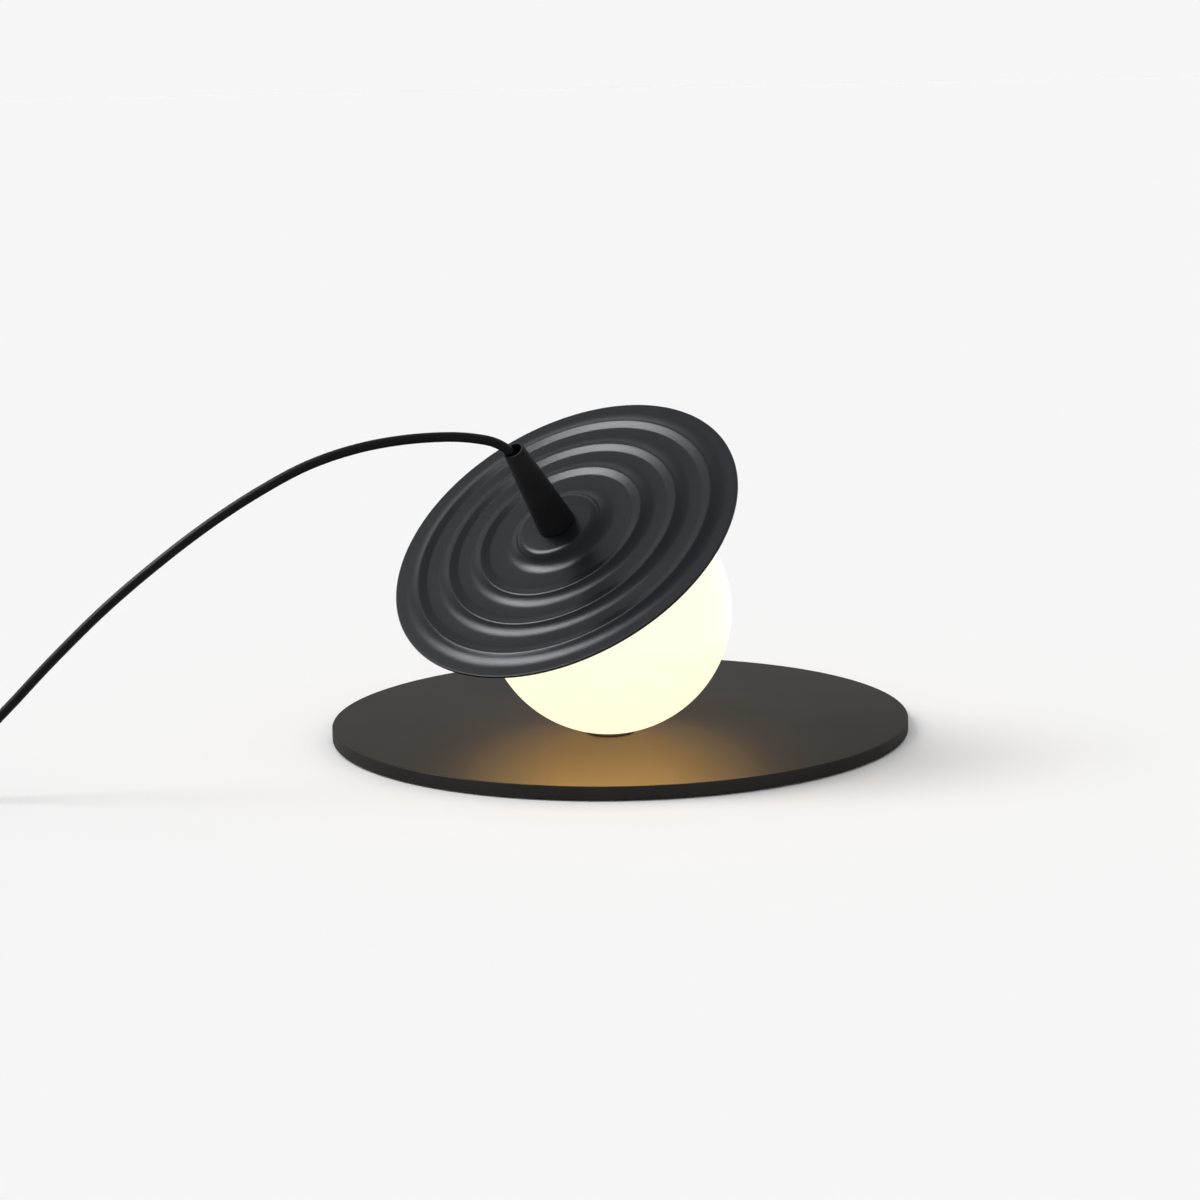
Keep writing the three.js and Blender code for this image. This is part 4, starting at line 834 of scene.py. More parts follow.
LEAD_ROUTE = [
    (-409, -122, CORD_IN_SWITCH),
    (-414, -122, CORD_IN_SWITCH),
    (-421, -121.6, 8.2),
    (-430, -119, 6.4),
    (-438, -113.6, 4.8),
    (-443.6, -105.8, 3.9),
    (-446.4, -96, 3.5),
    (-446.75, -84, 3.5),
    (-446.75, -74, 3.5),
    (-446.75, -63.1, 3.5),
]
TAIL_ROUTE = [
    (-449.5, -52.9, 9),
    (-449.5, -48.4, 9),
    (-450.6, -42, 7.4),
    (-450.8, -30, 5.6),
    (-450.6, -18, 4.6),
    (-450, -8, 5.2),
    (-450, -2.8, 6.8),
    (-450, 1.7, 6.8),
]


def coil_point(turn):
    """A point of the coil: in on the lower layer, up where it turns back, and out on the upper layer."""
    back = turn - TURNS_IN
    share = min(max(back / CLIMB_TURNS, 0), 1)
    climb = share * share * (3 - 2 * share)
    radius = COIL_OUTER - turn * COIL_PITCH
    if back > CLIMB_TURNS:
        radius = COIL_INNER + (back - CLIMB_TURNS) * COIL_PITCH
    elif back > 0:
        radius = COIL_INNER - COIL_PITCH * back * (1 - share)
    angle = math.pi - TURN * turn
    x = COIL_PLACE[0] + radius * math.cos(angle)
    y = COIL_PLACE[1] + radius * math.sin(angle)
    return Vector((x, y, COIL_LOW + COIL_PITCH * climb))


def coil_route():
    """The wound cord, with a short straight lead at each end."""
    turns = TURNS_IN + CLIMB_TURNS + TURNS_OUT
    count = round(turns * STEPS_IN_A_TURN)
    wound = [coil_point(turns * i / count) for i in range(count + 1)]
    lead = Vector((0, CORD_DIAMETER, 0))
    return [wound[0] - lead, wound[0] - lead / 2, *wound, wound[-1] + lead / 2, wound[-1] + lead]


def make_cords():
    arch = smooth_route(ARCH_ROUTE, per_span=8)
    supply = smooth_route(LEAD_ROUTE, per_span=6) + coil_route() + smooth_route(TAIL_ROUTE, per_span=6)
    arch_cord = tube("arch_cord", arch, CORD_DIAMETER, finishes["cord"])
    supply_cord = tube("supply_cord", supply, CORD_DIAMETER, finishes["cord"], sides=20)
    return arch_cord, arch, supply_cord, supply


# Rippled disc, with heights above its rim's middle
DISC_RADIUS = 92.5
RIM_THICKNESS = 1.4
RIM_EDGE = 0.3
LIP_WIDTH = 1.5
RIPPLES = 3
RIPPLE_PITCH = 17.9
CREST_RADIUS = 43.7
CREST_HEIGHT = 5.7
CREST_DROP = 1.35
RIPPLE_DEPTH = 2.6
FALL_ANGLE = math.radians(40)
LAST_FALL_SHARE = 1.2
RISE_WIDTH = 4.9
CREST_ROUND = 1
FOOT_ROUND = 0.5
FALL_STEPS = 18
FALL_START_SHARE = 1.4
FOOT_SHARES = (0, 0.33, 0.67, 1)
RISE_SHARES = (0.6, 0.35)
CREST_SHARES = (0, 0.2, 0.4, 0.6, 0.8)
BOSS_FLAT_RADIUS = 17.8
BOSS_CORNER_RADIUS = 21.3
BOSS_RADIUS = 22.5
BOSS_HEIGHT = CREST_HEIGHT + CREST_DROP
BOSS_TOP = 10
BOSS_STEPS = 10
BOSS_UNDERSIDE = 6.5
BOSS_HOLLOW_RADIUS = 18
BOSS_HOLLOW_FOOT = 24.5
WEB_UNDERSIDE = 1.5
WEB_INSIDE = 1.7
COLLAR_RADIUS = 36.95
REGISTER_FOOT = -1.45
REGISTER_WIDTH = 5.5
BORE_RADIUS = 4.3
UNDERSIDE_ROUNDS = {1: 0.3, 2: 0.3, 3: 0.5, 4: 1.5, 5: 1.5, 6: 0.3}


def ripple_section():
    """One ripple: the points that fall from a crest, then the points that rise to the next one.

    A falling point is set from the crest it leaves, and a rising one from the crest it meets."""
    bend = RIPPLE_DEPTH / (1 - math.cos(FALL_ANGLE))
    width = bend * math.sin(FALL_ANGLE)
    rise_foot = Vector((-RISE_WIDTH, CREST_DROP - RIPPLE_DEPTH))
    uphill = -rise_foot.normalized()
    arrive = -uphill * CREST_ROUND
    leave = Vector((math.cos(FALL_ANGLE), -math.sin(FALL_ANGLE))) * CREST_ROUND
    fall = arc(width, bend - RIPPLE_DEPTH, bend, -QUARTER - FALL_ANGLE, -QUARTER, FALL_STEPS)
    past_crest = [Vector(p) for p in fall if Vector(p).length > FALL_START_SHARE * CREST_ROUND]
    inner = rise_foot - Vector((FOOT_ROUND, 0))
    outer = rise_foot + uphill * FOOT_ROUND
    rising = [bent(inner, rise_foot, outer, share) for share in FOOT_SHARES]
    rising += [rise_foot * share for share in RISE_SHARES]
    rising += [bent(arrive, Vector((0, 0)), leave, share) for share in CREST_SHARES]
    return [leave, *past_crest], rising, width


def rim_and_underside(first_point):
    """The plain outline: round the rim, along the underside, up the bore and over the boss."""
    edge = DISC_RADIUS - RIM_EDGE
    corner = RIM_THICKNESS / 2 - RIM_EDGE
    rim = arc(edge, corner, RIM_EDGE, QUARTER, 0, 5) + arc(edge, -corner, RIM_EDGE, 0, -QUARTER, 5)
    underside = softened(
        [
            (COLLAR_RADIUS, WEB_UNDERSIDE),
            (COLLAR_RADIUS, REGISTER_FOOT),
            (COLLAR_RADIUS - REGISTER_WIDTH, REGISTER_FOOT),
            (COLLAR_RADIUS - REGISTER_WIDTH, WEB_INSIDE),
            (BOSS_HOLLOW_FOOT, WEB_INSIDE),
            (BOSS_HOLLOW_RADIUS, BOSS_UNDERSIDE),
            (BORE_RADIUS, BOSS_UNDERSIDE),
            (BORE_RADIUS, BOSS_TOP),
        ],
        UNDERSIDE_ROUNDS,
    )
    flat = Vector((BOSS_FLAT_RADIUS, BOSS_TOP))
    turn = Vector((BOSS_CORNER_RADIUS, BOSS_TOP))
    drop = Vector((BOSS_RADIUS, BOSS_HEIGHT))
    boss = [tuple(bent(flat, turn, drop, step / BOSS_STEPS)) for step in range(BOSS_STEPS + 1)]
    return [*rim, *underside, *boss, first_point]


def make_disc():
    falling, rising, fall_width = ripple_section()
    floor = CREST_HEIGHT - (RIPPLE_DEPTH - CREST_DROP)
    scale = (BOSS_HEIGHT - floor) / RIPPLE_DEPTH
    first_point = (BOSS_RADIUS + falling[0].x * scale, BOSS_HEIGHT + falling[0].y * scale)
    plain = rim_and_underside(first_point)
    points = [tuple(p) for p in falling + rising] + plain
    mesh = polyline("rippled_disc", points)
    marks = mesh.attributes.new("rising", "FLOAT", "POINT")
    values = [0.0] * len(falling) + [1.0] * len(rising) + [0.0] * len(plain)
    marks.data.foreach_set("value", values)
    disc = grown(
        "rippled_disc",
        mesh,
        rippled_tree(turning),
        Points_in_a_Ripple=len(falling) + len(rising),
        Ripples=RIPPLES,
        Pitch=RIPPLE_PITCH * MM,
        First_Crest_Radius=CREST_RADIUS * MM,
        First_Crest_Height=CREST_HEIGHT * MM,
        Crest_Drop=CREST_DROP * MM,
        Ripple_Depth=RIPPLE_DEPTH * MM,
        Fall_Width=fall_width * MM,
        Last_Fall_Share=LAST_FALL_SHARE,
        Rise_Width=RISE_WIDTH * MM,
        Boss_Radius=BOSS_RADIUS * MM,
        Boss_Height=BOSS_HEIGHT * MM,
        Rim_Radius=(DISC_RADIUS - LIP_WIDTH) * MM,
        Rim_Height=RIM_THICKNESS / 2 * MM,
        Facets=288,
        Finish=finishes["slate"],
    )
    disc.data.transform(in_metres(crown_place))
    tidy_faces(disc, sharp=40)
    return rides(disc, "disc", ["ripple_disc"])


# Cone, globe, plate and pad

CONE_HEIGHT = 50.9
CONE_FOOT_RADIUS = 9.6
CONE_TIP_RADIUS = 5.4
CONE_TIP_BORE = 4.3
CONE_THREAD_RADIUS = 7.7
CONE_THREAD_LENGTH = 6.6
CONE_BORE_START = 7.942
CONE_ROUNDS = {1: 0.3, 2: 0.28, 3: 0.25}
FOOT_HOLE_RADIUS = 5
FOOT_HOLE_REACH = 60
PLATE_RADIUS = 150
PLATE_EDGE = 0.6
PAD_RADIUS = 147
PAD_THICKNESS = 0.8
PAD_ROUNDS = {1: 0.35, 2: 0.2}
PAD_HOLE_RADIUS = 7.5
PAD_HOLE_TOP = 3
SCREW_HEAD_RADIUS = 6.1
SCREW_HEAD_TOP = 1.1
SCREW_SHANK_RADIUS = 3.3
SCREW_SHANK_START = 3.6
SEAT_RADIUS = 12.3
SEAT_FLOOR = 6
SEAT_CUT_TOP = 9


def make_cone():
    bottom = BOSS_TOP + GAP
    top = bottom + CONE_HEIGHT
    threads = bottom + CONE_THREAD_LENGTH
    outline = softened(
        [
            (CONE_THREAD_RADIUS, bottom),
            (CONE_FOOT_RADIUS, bottom),
            (CONE_TIP_RADIUS, top),
            (CONE_TIP_BORE, top),
            (CONE_BORE_START, threads),
            (CONE_THREAD_RADIUS, threads),
        ],
        CONE_ROUNDS,
    )
    cone = turned("cord_cone_shell", outline, finishes["cone"], crown_place, facets=96, sharp=35)
    return rides(cone, "disc", ["cord_cone"])


def make_globe():
    """A hollow ball of glass, open at its mouth and bored at its foot for the screw."""
    inner = GLOBE_RADIUS - GLASS_WALL
    outside = arc(0, 0, GLOBE_RADIUS, math.asin(mouth_height / GLOBE_RADIUS), -QUARTER, 72)[:-1]
    inside = arc(0, 0, inner, -QUARTER, math.asin(mouth_height / inner), 48)[1:]
    outline = [*outside, (0, -GLOBE_RADIUS), (0, -inner), *inside]
    glass = turned("opal_globe", outline, finishes["opal"], head_place, facets=160, sharp=40)
    hole = rod(FOOT_HOLE_RADIUS, 0, FOOT_HOLE_REACH)
    drill = turned("drill", hole, finishes["opal"], foot_place, facets=48)
    shaped(glass, [drill], sharp=40)
    return rides(glass, "globe", ["glass_globe"])


def make_base():
    outline = softened(
        rod(PLATE_RADIUS, PAD_THICKNESS, PLATE_TOP),
        {1: PLATE_EDGE, 2: PLATE_EDGE},
        steps=5,
    )
    plate = turned("base_plate_coated", outline, finishes["plate"], facets=360, sharp=35)
    way = [
        (0, 0),
        (SCREW_HEAD_RADIUS, 0),
        (SCREW_HEAD_RADIUS, SCREW_HEAD_TOP),
        (SCREW_SHANK_RADIUS, SCREW_SHANK_START),
        (SCREW_SHANK_RADIUS, SEAT_FLOOR),
        (SEAT_RADIUS, SEAT_FLOOR),
        (SEAT_RADIUS, SEAT_CUT_TOP),
        (0, SEAT_CUT_TOP),
    ]
    shaped(plate, [turned("screw_way", way, finishes["plate"], foot_place, facets=64)], sharp=35)
    pad_outline = softened(rod(PAD_RADIUS, 0, PAD_THICKNESS), PAD_ROUNDS)
    pad = turned("base_pad_cut", pad_outline, finishes["rubber"], facets=360)
    hole = rod(PAD_HOLE_RADIUS, -OVERRUN, PAD_HOLE_TOP)
    shaped(pad, [turned("pad_hole", hole, finishes["rubber"], foot_place, facets=64)])
    rides(plate, "base", ["base_plate"])
    rides(pad, "base", ["base_pad"])


# Hand switch

SWITCH_WIDTH = 27
SWITCH_CORNER = 8
LEAST_CORNER = 0.2
SWITCH_HEIGHT = 18
SWITCH_WALL = 1.6
SWITCH_EDGE = 1.2
MOULDED_EDGE = 0.12
PARTING_BEVEL = 0.3
CORD_WAY_RADIUS = 2.7
CORD_WAY_REACH = 40
SCREW_FROM_END = 8
SCREW_FROM_SIDE = 5.4
POST_RADIUS = 2.9
SCREW_WAY_RADIUS = 1.5
SCREW_WAY_TOP = 12.6
SCREW_RECESS_RADIUS = 2.5
SCREW_RECESS_TOP = 2
WINDOW_LENGTH = 20
WINDOW_WIDTH = 12
WINDOW_CORNER = 0.8
WINDOW_DEPTH = 4
PIVOT_HEIGHT = 14
ROCKER_TILT = math.radians(9)
ROCKER_END = 9
ROCKER_TOP = 5.6
ROCKER_FOOT = -2.2
ROCKER_HALF_WIDTH = 5.5
ROCKER_EDGE = 0.35
ROCKER_CORNER_WIDTH = 0.5
ROCKER_CORNER_DROP = 0.8
DISH_DEPTH = 1
DISH_POWER = 1.6
DISH_STATIONS = (8.5, 7, 5.5, 4, 2, 0, -2, -4, -5.5, -7, -8.5)
PIN_WAY_RADIUS = 1.3
PIN_WAY_REACH = 9
RIDGES = 5
RIDGE_WIDTH = 0.9
RIDGE_LENGTH = 15
RIDGE_CORNER = 0.44
RIDGE_LAYERS = ((-0.2, 0), (0.12, 0), (0.3, 0.16), (0.35, 0.34))
RIDGE_PITCH = 2.2
FIRST_RIDGE = 15
RIDGE_SINK = 0.05

switch_place = Matrix.Translation((*SWITCH_PLACE, 0))
upright = Matrix.Rotation(QUARTER, 4, "X")


def inset_layers(length, width, corner, layers):
    """Layers of (height, inset) as rounded outlines for a loft."""
    return [
        (z, rounded_outline(length - 2 * inset, width - 2 * inset, max(corner - inset, LEAST_CORNER)))
        for z, inset in layers
    ]


def quarter_round(height, radius, downwards, steps=5):
    """(height, inset) pairs round an edge of that radius, towards the face at height."""
    pairs = []
    for step in range(steps + 1):
        angle = QUARTER * step / steps
        rise = radius * math.sin(angle)
        level = height + radius - rise if downwards else height - radius + rise
        pairs.append((level, radius * (1 - math.cos(angle))))
    return pairs


def switch_room():
    """The hollow inside both shells."""
    layers = inset_layers(
        SWITCH_LENGTH - 2 * SWITCH_WALL,
        SWITCH_WIDTH - 2 * SWITCH_WALL,
        SWITCH_CORNER - SWITCH_WALL,
        [(SWITCH_WALL, 0), (SWITCH_HEIGHT - SWITCH_WALL, 0)],
    )
    return lofted("switch_room", layers, finishes["plastic"], switch_place)


def cord_way():
    """The hole that the cord takes through both ends of the switch."""
    outline = rod(CORD_WAY_RADIUS, -CORD_WAY_REACH, CORD_WAY_REACH)
    along = switch_place @ Matrix.Translation((0, 0, CORD_IN_SWITCH)) @ Matrix.Rotation(QUARTER, 4, "Y")
    return turned("cord_way", outline, finishes["plastic"], along, facets=40)


def screw_rods(radius, low, high):
    """A rod where each of the switch's two screws stands."""
    rods = []
    for end in (1, -1):
        x = SWITCH_PLACE[0] + end * (SWITCH_LENGTH / 2 - SCREW_FROM_END)
        y = SWITCH_PLACE[1] + end * (SWITCH_WIDTH / 2 - SCREW_FROM_SIDE)
        spot = Matrix.Translation((x, y, 0))
        rods.append(turned("screw_rod", rod(radius, low, high), finishes["plastic"], spot, facets=32))
    return rods


def make_switch_shells():
    plastic = finishes["plastic"]
    size = (SWITCH_LENGTH, SWITCH_WIDTH, SWITCH_CORNER)
    parting = CORD_IN_SWITCH
    layers = quarter_round(0, SWITCH_EDGE, True)[::-1]
    layers += [(parting - PARTING_BEVEL, 0), (parting, PARTING_BEVEL)]
    lower = lofted("switch_lower_shell", inset_layers(*size, layers), plastic, switch_place)
    shaped(lower, [switch_room()])
    shaped(lower, screw_rods(POST_RADIUS, SWITCH_WALL / 2, parting), "UNION")
    ways = screw_rods(SCREW_WAY_RADIUS, -OVERRUN, SWITCH_HEIGHT)
    recesses = screw_rods(SCREW_RECESS_RADIUS, -OVERRUN, SCREW_RECESS_TOP)
    shaped(lower, [cord_way(), *ways, *recesses])
    eased(lower, MOULDED_EDGE, 2)

    layers = [(parting + GAP, PARTING_BEVEL), (parting + GAP + PARTING_BEVEL, 0)]
    layers += quarter_round(SWITCH_HEIGHT, SWITCH_EDGE, False)
    upper = lofted("switch_upper_shell", inset_layers(*size, layers), plastic, switch_place)
    opening = rounded_outline(WINDOW_LENGTH, WINDOW_WIDTH, WINDOW_CORNER, 4)
    window_layers = [(SWITCH_HEIGHT - WINDOW_DEPTH, opening), (SWITCH_HEIGHT + OVERRUN, opening)]
    window = lofted("window", window_layers, plastic, switch_place)
    shaped(upper, [switch_room(), cord_way(), window])
    shaped(upper, screw_rods(POST_RADIUS, parting + GAP, SWITCH_HEIGHT - SWITCH_WALL / 2), "UNION")
    shaped(upper, screw_rods(SCREW_WAY_RADIUS, 0, SCREW_WAY_TOP))
    eased(upper, MOULDED_EDGE, 2)
    return lower, upper


def make_rocker():
    """The rocker, with a shallow dish between its raised ends, tilted as it rests."""
    plastic = finishes["plastic"]
    dish = []
    for x in DISH_STATIONS:
        rise = DISH_DEPTH * (abs(x) / (ROCKER_END - ROCKER_CORNER_WIDTH)) ** DISH_POWER
        dish.append((x, ROCKER_TOP - DISH_DEPTH + rise))
    corner = ROCKER_TOP - ROCKER_CORNER_DROP
    foot = [(-ROCKER_END, ROCKER_FOOT), (ROCKER_END, ROCKER_FOOT)]
    side = [*foot, (ROCKER_END, corner), *dish, (-ROCKER_END, corner)]
    pivot = Matrix.Translation((*SWITCH_PLACE, PIVOT_HEIGHT))
    tilted = pivot @ Matrix.Rotation(ROCKER_TILT, 4, "Y") @ upright
    layers = [(-ROCKER_HALF_WIDTH, side), (ROCKER_HALF_WIDTH, side)]
    rocker = lofted("switch_rocker_key", layers, plastic, tilted)
    pin_outline = rod(PIN_WAY_RADIUS, -PIN_WAY_REACH, PIN_WAY_REACH)
    shaped(rocker, [turned("pin_way", pin_outline, plastic, pivot @ upright, facets=32)])
    return eased(rocker, ROCKER_EDGE)


def make_ridges():
    """Two rows of grip ridges, one at each end of the switch's top, as one piece."""
    plastic = finishes["plastic"]
    tree = ridge_tree()
    ridge = lofted("ridge", inset_layers(RIDGE_WIDTH, RIDGE_LENGTH, RIDGE_CORNER, RIDGE_LAYERS), plastic)
    both = bmesh.new()
    for end in (1, -1):
        pitch = end * RIDGE_PITCH * MM
        start = end * FIRST_RIDGE * MM
        row = grown(
            "ridge_row", ridge.data.copy(), tree,
            Count=RIDGES, Spacing=pitch, Start=start, Finish=plastic,
        )
        both.from_mesh(row.data)
        bpy.data.objects.remove(row)
    bpy.data.objects.remove(ridge)
    mesh = bpy.data.meshes.new("grip_ridges")
    both.to_mesh(mesh)
    both.free()
    mesh.materials.append(plastic)
    mesh.transform(in_metres(Matrix.Translation((*SWITCH_PLACE, SWITCH_HEIGHT - RIDGE_SINK))))
    return tidy_faces(new_piece("grip_ridges", mesh))


def make_switch():
    lower, upper = make_switch_shells()
    rocker = make_rocker()
    ridges = make_ridges()
    rides(lower, "base", ["switch_base"])
    rides(upper, "base", ["switch_cover"])
    rides(ridges, "base", [])
    rides(rocker, "rocker", ["switch_rocker"])
    return [lower, upper, ridges, rocker]


# Coil tie

TIE_THICKNESS = 0.8
TIE_WIDTH = 9
TIE_EDGE = 0.2


def make_tie():
    """A woven strap round one side of the coil, as a closed band."""
    strap_finish = finishes["strap"]
    radius = CORD_DIAMETER / 2
    inner = math.sqrt((COIL_INNER - radius) ** 2 - (TIE_WIDTH / 2) ** 2) - 2 * GAP
    outer = COIL_OUTER + radius + 2 * GAP
    height = COIL_LOW + COIL_PITCH + radius + GAP + TIE_THICKNESS
    place = Matrix.Translation((COIL_PLACE[0] + (inner + outer) / 2, COIL_PLACE[1], height / 2)) @ upright
    outline = rounded_outline(outer - inner + 2 * TIE_THICKNESS, height, radius, 10)
    hollow = rounded_outline(outer - inner, height - 2 * TIE_THICKNESS, radius - TIE_THICKNESS, 10)
    strap = lofted("tie_strap", [(-TIE_WIDTH / 2, outline), (TIE_WIDTH / 2, outline)], strap_finish, place)
    opening = lofted("opening", [(-TIE_WIDTH, hollow), (TIE_WIDTH, hollow)], strap_finish, place)
    shaped(strap, [opening])
    eased(strap, TIE_EDGE, 2, angle=60)
    return rides(strap, "base", ["coil_tie"])


# Plug

PLUG_NECK = 7.5
PLUG_HALF_WIDTH = 17.5
PLUG_HALF_HEIGHT = 6.8
PLUG_LENGTH = 36
PLUG_EDGE = 1.5
SHOULDER_SHARE = 0.45
SHOULDER_SHARES = ((0, 0), (0.035, 0.2), (0.25, 0.5), (0.78, 0.84), (0.95, 0.97), (1, 1.12))
STRAIGHT_SHARE = 0.8
PEG_RADIUS = 3.5
PEG_LENGTH = 4
RELIEF_ROOT = 5
RELIEF_TIP = 3.4
RELIEF_LENGTH = 22
RELIEF_COLLAR = 3
RELIEF_RIBS = 4
RIB_DEPTH = 0.8
RELIEF_EDGE = 0.18
PIN_FROM_MIDDLE = 9.3
PIN_HOLE_RADIUS = 2.3
PIN_HOLE_DEPTH = 7
PIN_ROOT_DEPTH = 6.7
PIN_CORE_RADIUS = 1.1
PIN_RADIUS = 2
PIN_REACH = 19
PIN_ROUNDS = {3: 0.15, 4: 1.6}
SLEEVE_BORE = 1.4
SLEEVE_RADIUS = 1.85
SLEEVE_REACH = 10
SLEEVE_ROUNDS = {2: 0.12}

plug_place = Matrix.Translation((*PLUG_PLACE, PLUG_CORD_HEIGHT))
plug_lengthwise = plug_place @ Matrix.Rotation(-QUARTER, 4, "X")


def pin_place(side):
    return plug_lengthwise @ Matrix.Translation((side * PIN_FROM_MIDDLE, 0, 0))


def make_plug_body():
    """A flat moulded body that widens from the cord to the pins."""
    plastic = finishes["plastic"]
    shoulder = PLUG_LENGTH * SHOULDER_SHARE
    spread = PLUG_HALF_WIDTH - PLUG_NECK
    flank = [(PLUG_NECK + spread * across, shoulder * along, 0) for across, along in SHOULDER_SHARES]
    flank += [(PLUG_HALF_WIDTH, PLUG_LENGTH * STRAIGHT_SHARE, 0), (PLUG_HALF_WIDTH, PLUG_LENGTH, 0)]
    right = [(min(p.x, PLUG_HALF_WIDTH), p.y) for p in smooth_route(flank, per_span=4)]
    outline = right + [(-x, y) for x, y in right[::-1]]
    layers = [(-PLUG_HALF_HEIGHT, outline), (PLUG_HALF_HEIGHT, outline)]
    body = lofted("plug_body_moulded", layers, plastic, plug_place)
    eased(body, PLUG_EDGE, 4, angle=50)
    pin_hole = rod(PIN_HOLE_RADIUS, PLUG_LENGTH - PIN_HOLE_DEPTH, PLUG_LENGTH + OVERRUN)
    peg_hole = rod(PEG_RADIUS + GAP, -OVERRUN, PEG_LENGTH + GAP)
    cuts = [turned("pin_hole", pin_hole, plastic, pin_place(side), facets=32) for side in (-1, 1)]
    cuts.append(turned("peg_hole", peg_hole, plastic, plug_lengthwise, facets=40))
    shaped(body, cuts)
    return rides(body, "base", ["plug_body"])


def make_relief():
    """The ribbed sleeve that keeps the cord from kinking at the plug."""
    taper = (RELIEF_ROOT - RELIEF_TIP) / RELIEF_RIBS
    pitch = (RELIEF_LENGTH - RELIEF_COLLAR - GAP) / RELIEF_RIBS
    outline = [(0, PEG_LENGTH), (PEG_RADIUS, PEG_LENGTH), (PEG_RADIUS, -GAP), (RELIEF_ROOT, -GAP)]
    for rib in range(RELIEF_RIBS):
        start = -GAP - RELIEF_COLLAR - rib * pitch
        radius = RELIEF_ROOT - taper * rib
        outline += [
            (radius, start),
            (radius - RIB_DEPTH, start),
            (radius - RIB_DEPTH, start - pitch / 2),
            (radius - taper, start - pitch / 2),
        ]
    outline += [(RELIEF_TIP, -RELIEF_LENGTH), (0, -RELIEF_LENGTH)]
    relief = turned("plug_relief_ribbed", outline, finishes["rubber"], plug_lengthwise, facets=64)
    eased(relief, RELIEF_EDGE, 2)
    return rides(relief, "base", ["plug_relief"])


def make_pin(number, side):
    """A round pin with a rounded tip, and the sleeve round its inner half."""
    root = PLUG_LENGTH - PIN_ROOT_DEPTH
    sleeve_end = PLUG_LENGTH + SLEEVE_REACH
    tip = PLUG_LENGTH + PIN_REACH
    pin_outline = [
        (0, root),
        (PIN_CORE_RADIUS, root),
        (PIN_CORE_RADIUS, sleeve_end),
        (PIN_RADIUS, sleeve_end),
        (PIN_RADIUS, tip),
        (0, tip),
    ]
    sleeve_outline = [
        (SLEEVE_BORE, root),
        (SLEEVE_RADIUS, root),
        (SLEEVE_RADIUS, sleeve_end - GAP),
        (SLEEVE_BORE, sleeve_end - GAP),
    ]
    pin = turned(
        f"plug_pin_turned_{number}",
        softened(pin_outline, PIN_ROUNDS, steps=6),
        finishes["brass"],
        pin_place(side),
        facets=48,
    )
    sleeve = turned(
        f"pin_sleeve_turned_{number}",
        softened(sleeve_outline, SLEEVE_ROUNDS),
        finishes["plastic"],
        pin_place(side),
        facets=48,
    )
    rides(pin, "base", [f"plug_pin_{number}"])
    rides(sleeve, "base", [f"pin_sleeve_{number}"])
    return [pin, sleeve]


def make_plug():
    return [make_plug_body(), make_relief(), *make_pin(1, 1), *make_pin(2, -1)]


# CAD nodes that stay, each with its finish
NODE_FINISHES = {
    "seat_ring": "rubber",
    "fixing_screw": "zinc",
    "glass_bush": "silicone",
    "clamp_washer": "zinc",
    "lock_nut": "zinc",
    "globe_collar": "zinc",
    "mouth_gasket": "silicone",
    "socket_dish": "zinc",
    "threaded_tube": "zinc",
    "tube_nut": "zinc",
    "cone_spigot": "zinc",
    "cord_grip": "plastic",
    "grip_screw": "zinc",
    "holder_bracket": "zinc",
    "lampholder": "ceramic",
    "lamp_capsule": "bulb",
    "holder_screw_1": "zinc",
    "holder_screw_2": "zinc",
    "lamp_pin_1": "zinc",
    "lamp_pin_2": "zinc",
    "core_live": "brown",
    "core_neutral": "blue",
    "rocker_pin": "zinc",
    "switch_screw_1": "zinc",
    "switch_screw_2": "zinc",
    "switch_terminal_1": "brass",
    "switch_terminal_2": "brass",
}


def finish_nodes():
    for name, finish in NODE_FINISHES.items():
        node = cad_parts[name]
        if not node.material_slots:
            node.data.materials.append(finishes[finish])
        for slot in node.material_slots:
            slot.material = finishes[finish]


# Floor, background and light

FLOOR_WHITE = 0.922
FLOOR_REACH = 20000
SKY_LEVEL = 0.675
LIGHT_SPREAD = math.radians(28)
KEY_STRENGTH = 1.4
KEY_FROM = (-0.68, 0.05, 0.73)
GLOSS_STRENGTH = 4.4
GLOSS_FROM = (-0.72, -0.04, 0.69)
GLOSS_COLOUR = (0.93, 0.96, 1)
GLOW_RADIANCE = (0.5, 0.16, 0.01)
SHINE_RADIANCE = (155, 82, 18)
GLOW_CLEARANCE = 0.5


def pale_world():
    world = bpy.data.worlds.new("pale_room")
    world.use_nodes = True
    nodes = world.node_tree.nodes
    links = world.node_tree.links
    background = nodes["Background"]
    background.inputs["Strength"].default_value = 1
    path = nodes.new("ShaderNodeLightPath")
    seen = path.outputs["Is Camera Ray"]
    for name in ("Is Glossy Ray", "Is Transmission Ray"):
        either = nodes.new("ShaderNodeMath")
        either.operation = "MAXIMUM"
        links.new(seen, either.inputs[0])
        links.new(path.outputs[name], either.inputs[1])
        seen = either.outputs[0]
    level = nodes.new("ShaderNodeMapRange")
    level.inputs["To Min"].default_value = SKY_LEVEL
    level.inputs["To Max"].default_value = FLOOR_WHITE
    links.new(seen, level.inputs["Value"])
    links.new(level.outputs["Result"], background.inputs["Color"])
    bpy.context.scene.world = world


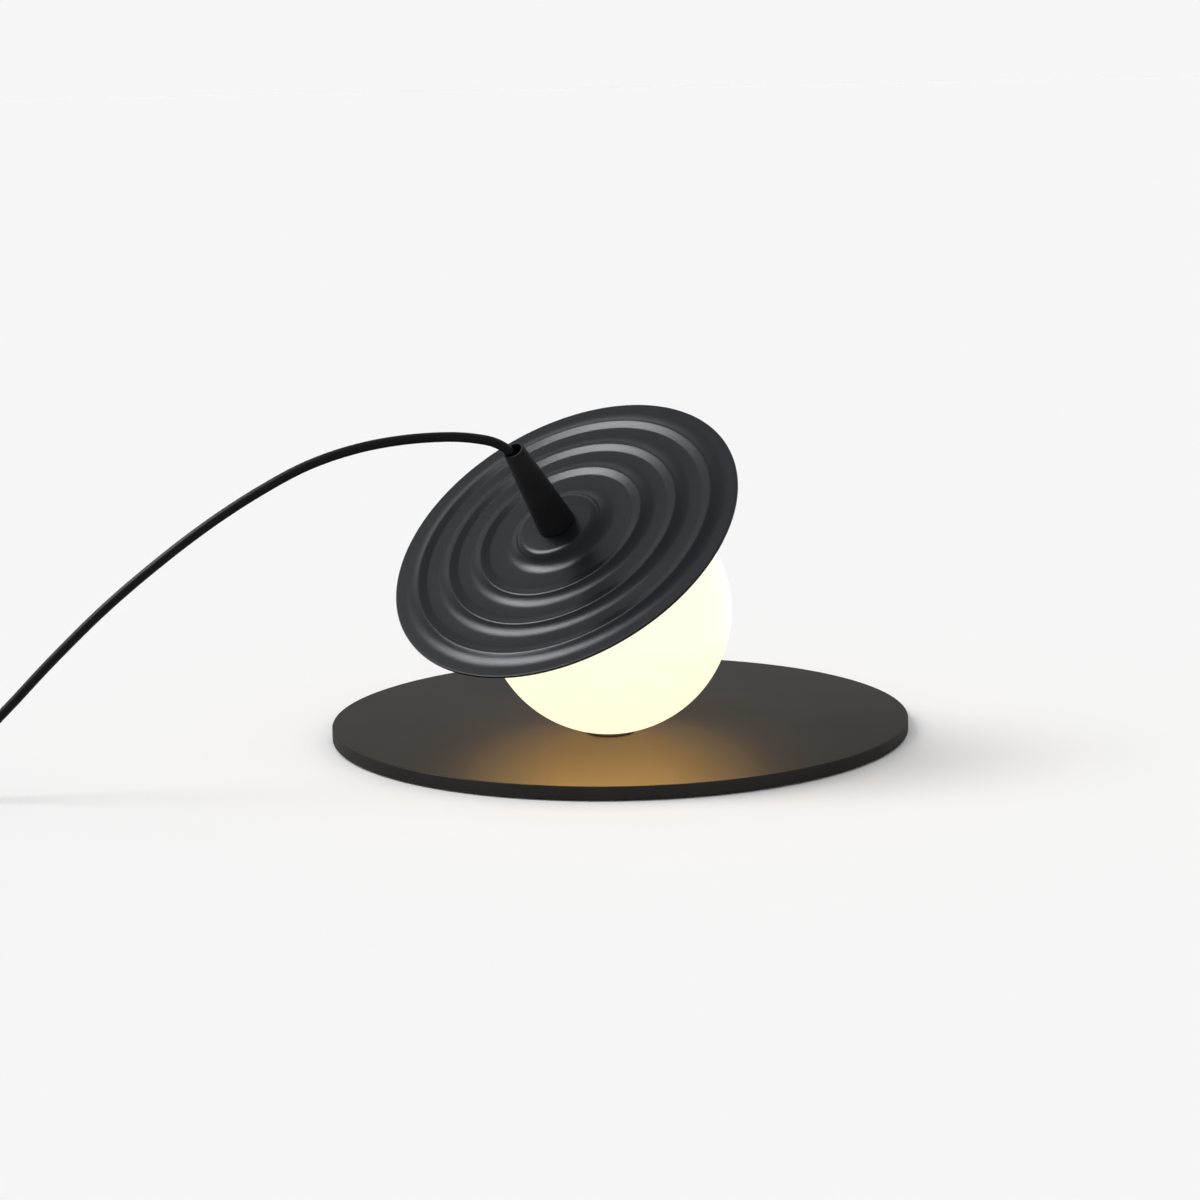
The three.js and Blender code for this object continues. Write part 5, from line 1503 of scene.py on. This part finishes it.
def pale_floor():
    finish = Finish("pale_floor", Base_Color=grey(FLOOR_WHITE), Roughness=0.9, Specular_IOR_Level=0.0)
    mesh = bpy.data.meshes.new("floor")
    far = FLOOR_REACH * MM
    corners = [(-far, -far, 0), (far, -far, 0), (far, far, 0), (-far, far, 0)]
    mesh.from_pydata(corners, [], [(0, 1, 2, 3)])
    mesh.materials.append(finish.material)
    new_piece("floor", mesh)


def distant_light(name, strength, from_where):
    data = bpy.data.lights.new(name, "SUN")
    data.energy = strength
    data.angle = LIGHT_SPREAD
    lamp = bpy.data.objects.new(name, data)
    bpy.context.scene.collection.objects.link(lamp)
    lamp.rotation_euler = Vector(from_where).to_track_quat("Z", "Y").to_euler()
    return lamp


def globe_glow(name, radiance, only=None):
    """The globe's own light, as a ball of light round the glass."""
    radius = (GLOBE_RADIUS + GLOW_CLEARANCE) * MM
    strongest = max(radiance)
    data = bpy.data.lights.new(name, "POINT")
    data.shadow_soft_size = radius
    data.use_soft_falloff = False
    data.color = [value / strongest for value in radiance]
    data.energy = strongest * 4 * math.pi ** 2 * radius ** 2
    lamp = bpy.data.objects.new(name, data)
    bpy.context.scene.collection.objects.link(lamp)
    lamp.location = globe_centre * MM
    lamp.visible_camera = False
    if only:
        receivers = bpy.data.collections.new(name + "_on")
        for piece in only:
            receivers.objects.link(piece)
        lamp.light_linking.receiver_collection = receivers
    return lamp


# Building the lamp

place_camera()
turning = turned_tree()
finishes = make_finishes()
arch_cord, arch, supply_cord, supply = make_cords()
switch_pieces = make_switch()
plug_pieces = make_plug()
tie = make_tie()
make_disc()
make_cone()
make_globe()
make_base()
finish_nodes()

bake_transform(arch_cord)
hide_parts("cord_arch")
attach(supply_cord, "base")
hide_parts("cord_lead", "cord_coil", "cord_tail")

pale_world()
pale_floor()
distant_light("broad_key", KEY_STRENGTH, KEY_FROM)
soft_box = distant_light("soft_box_in_the_gloss", GLOSS_STRENGTH, GLOSS_FROM)
soft_box.data.color = GLOSS_COLOUR
soft_box.visible_diffuse = False
globe_glow("glow_on_all", GLOW_RADIANCE)
shine = globe_glow("shine_on_plate", SHINE_RADIANCE, only=[bpy.data.objects["base_plate_coated"]])
shine.visible_diffuse = False

bpy.context.scene.view_settings.view_transform = "Standard"
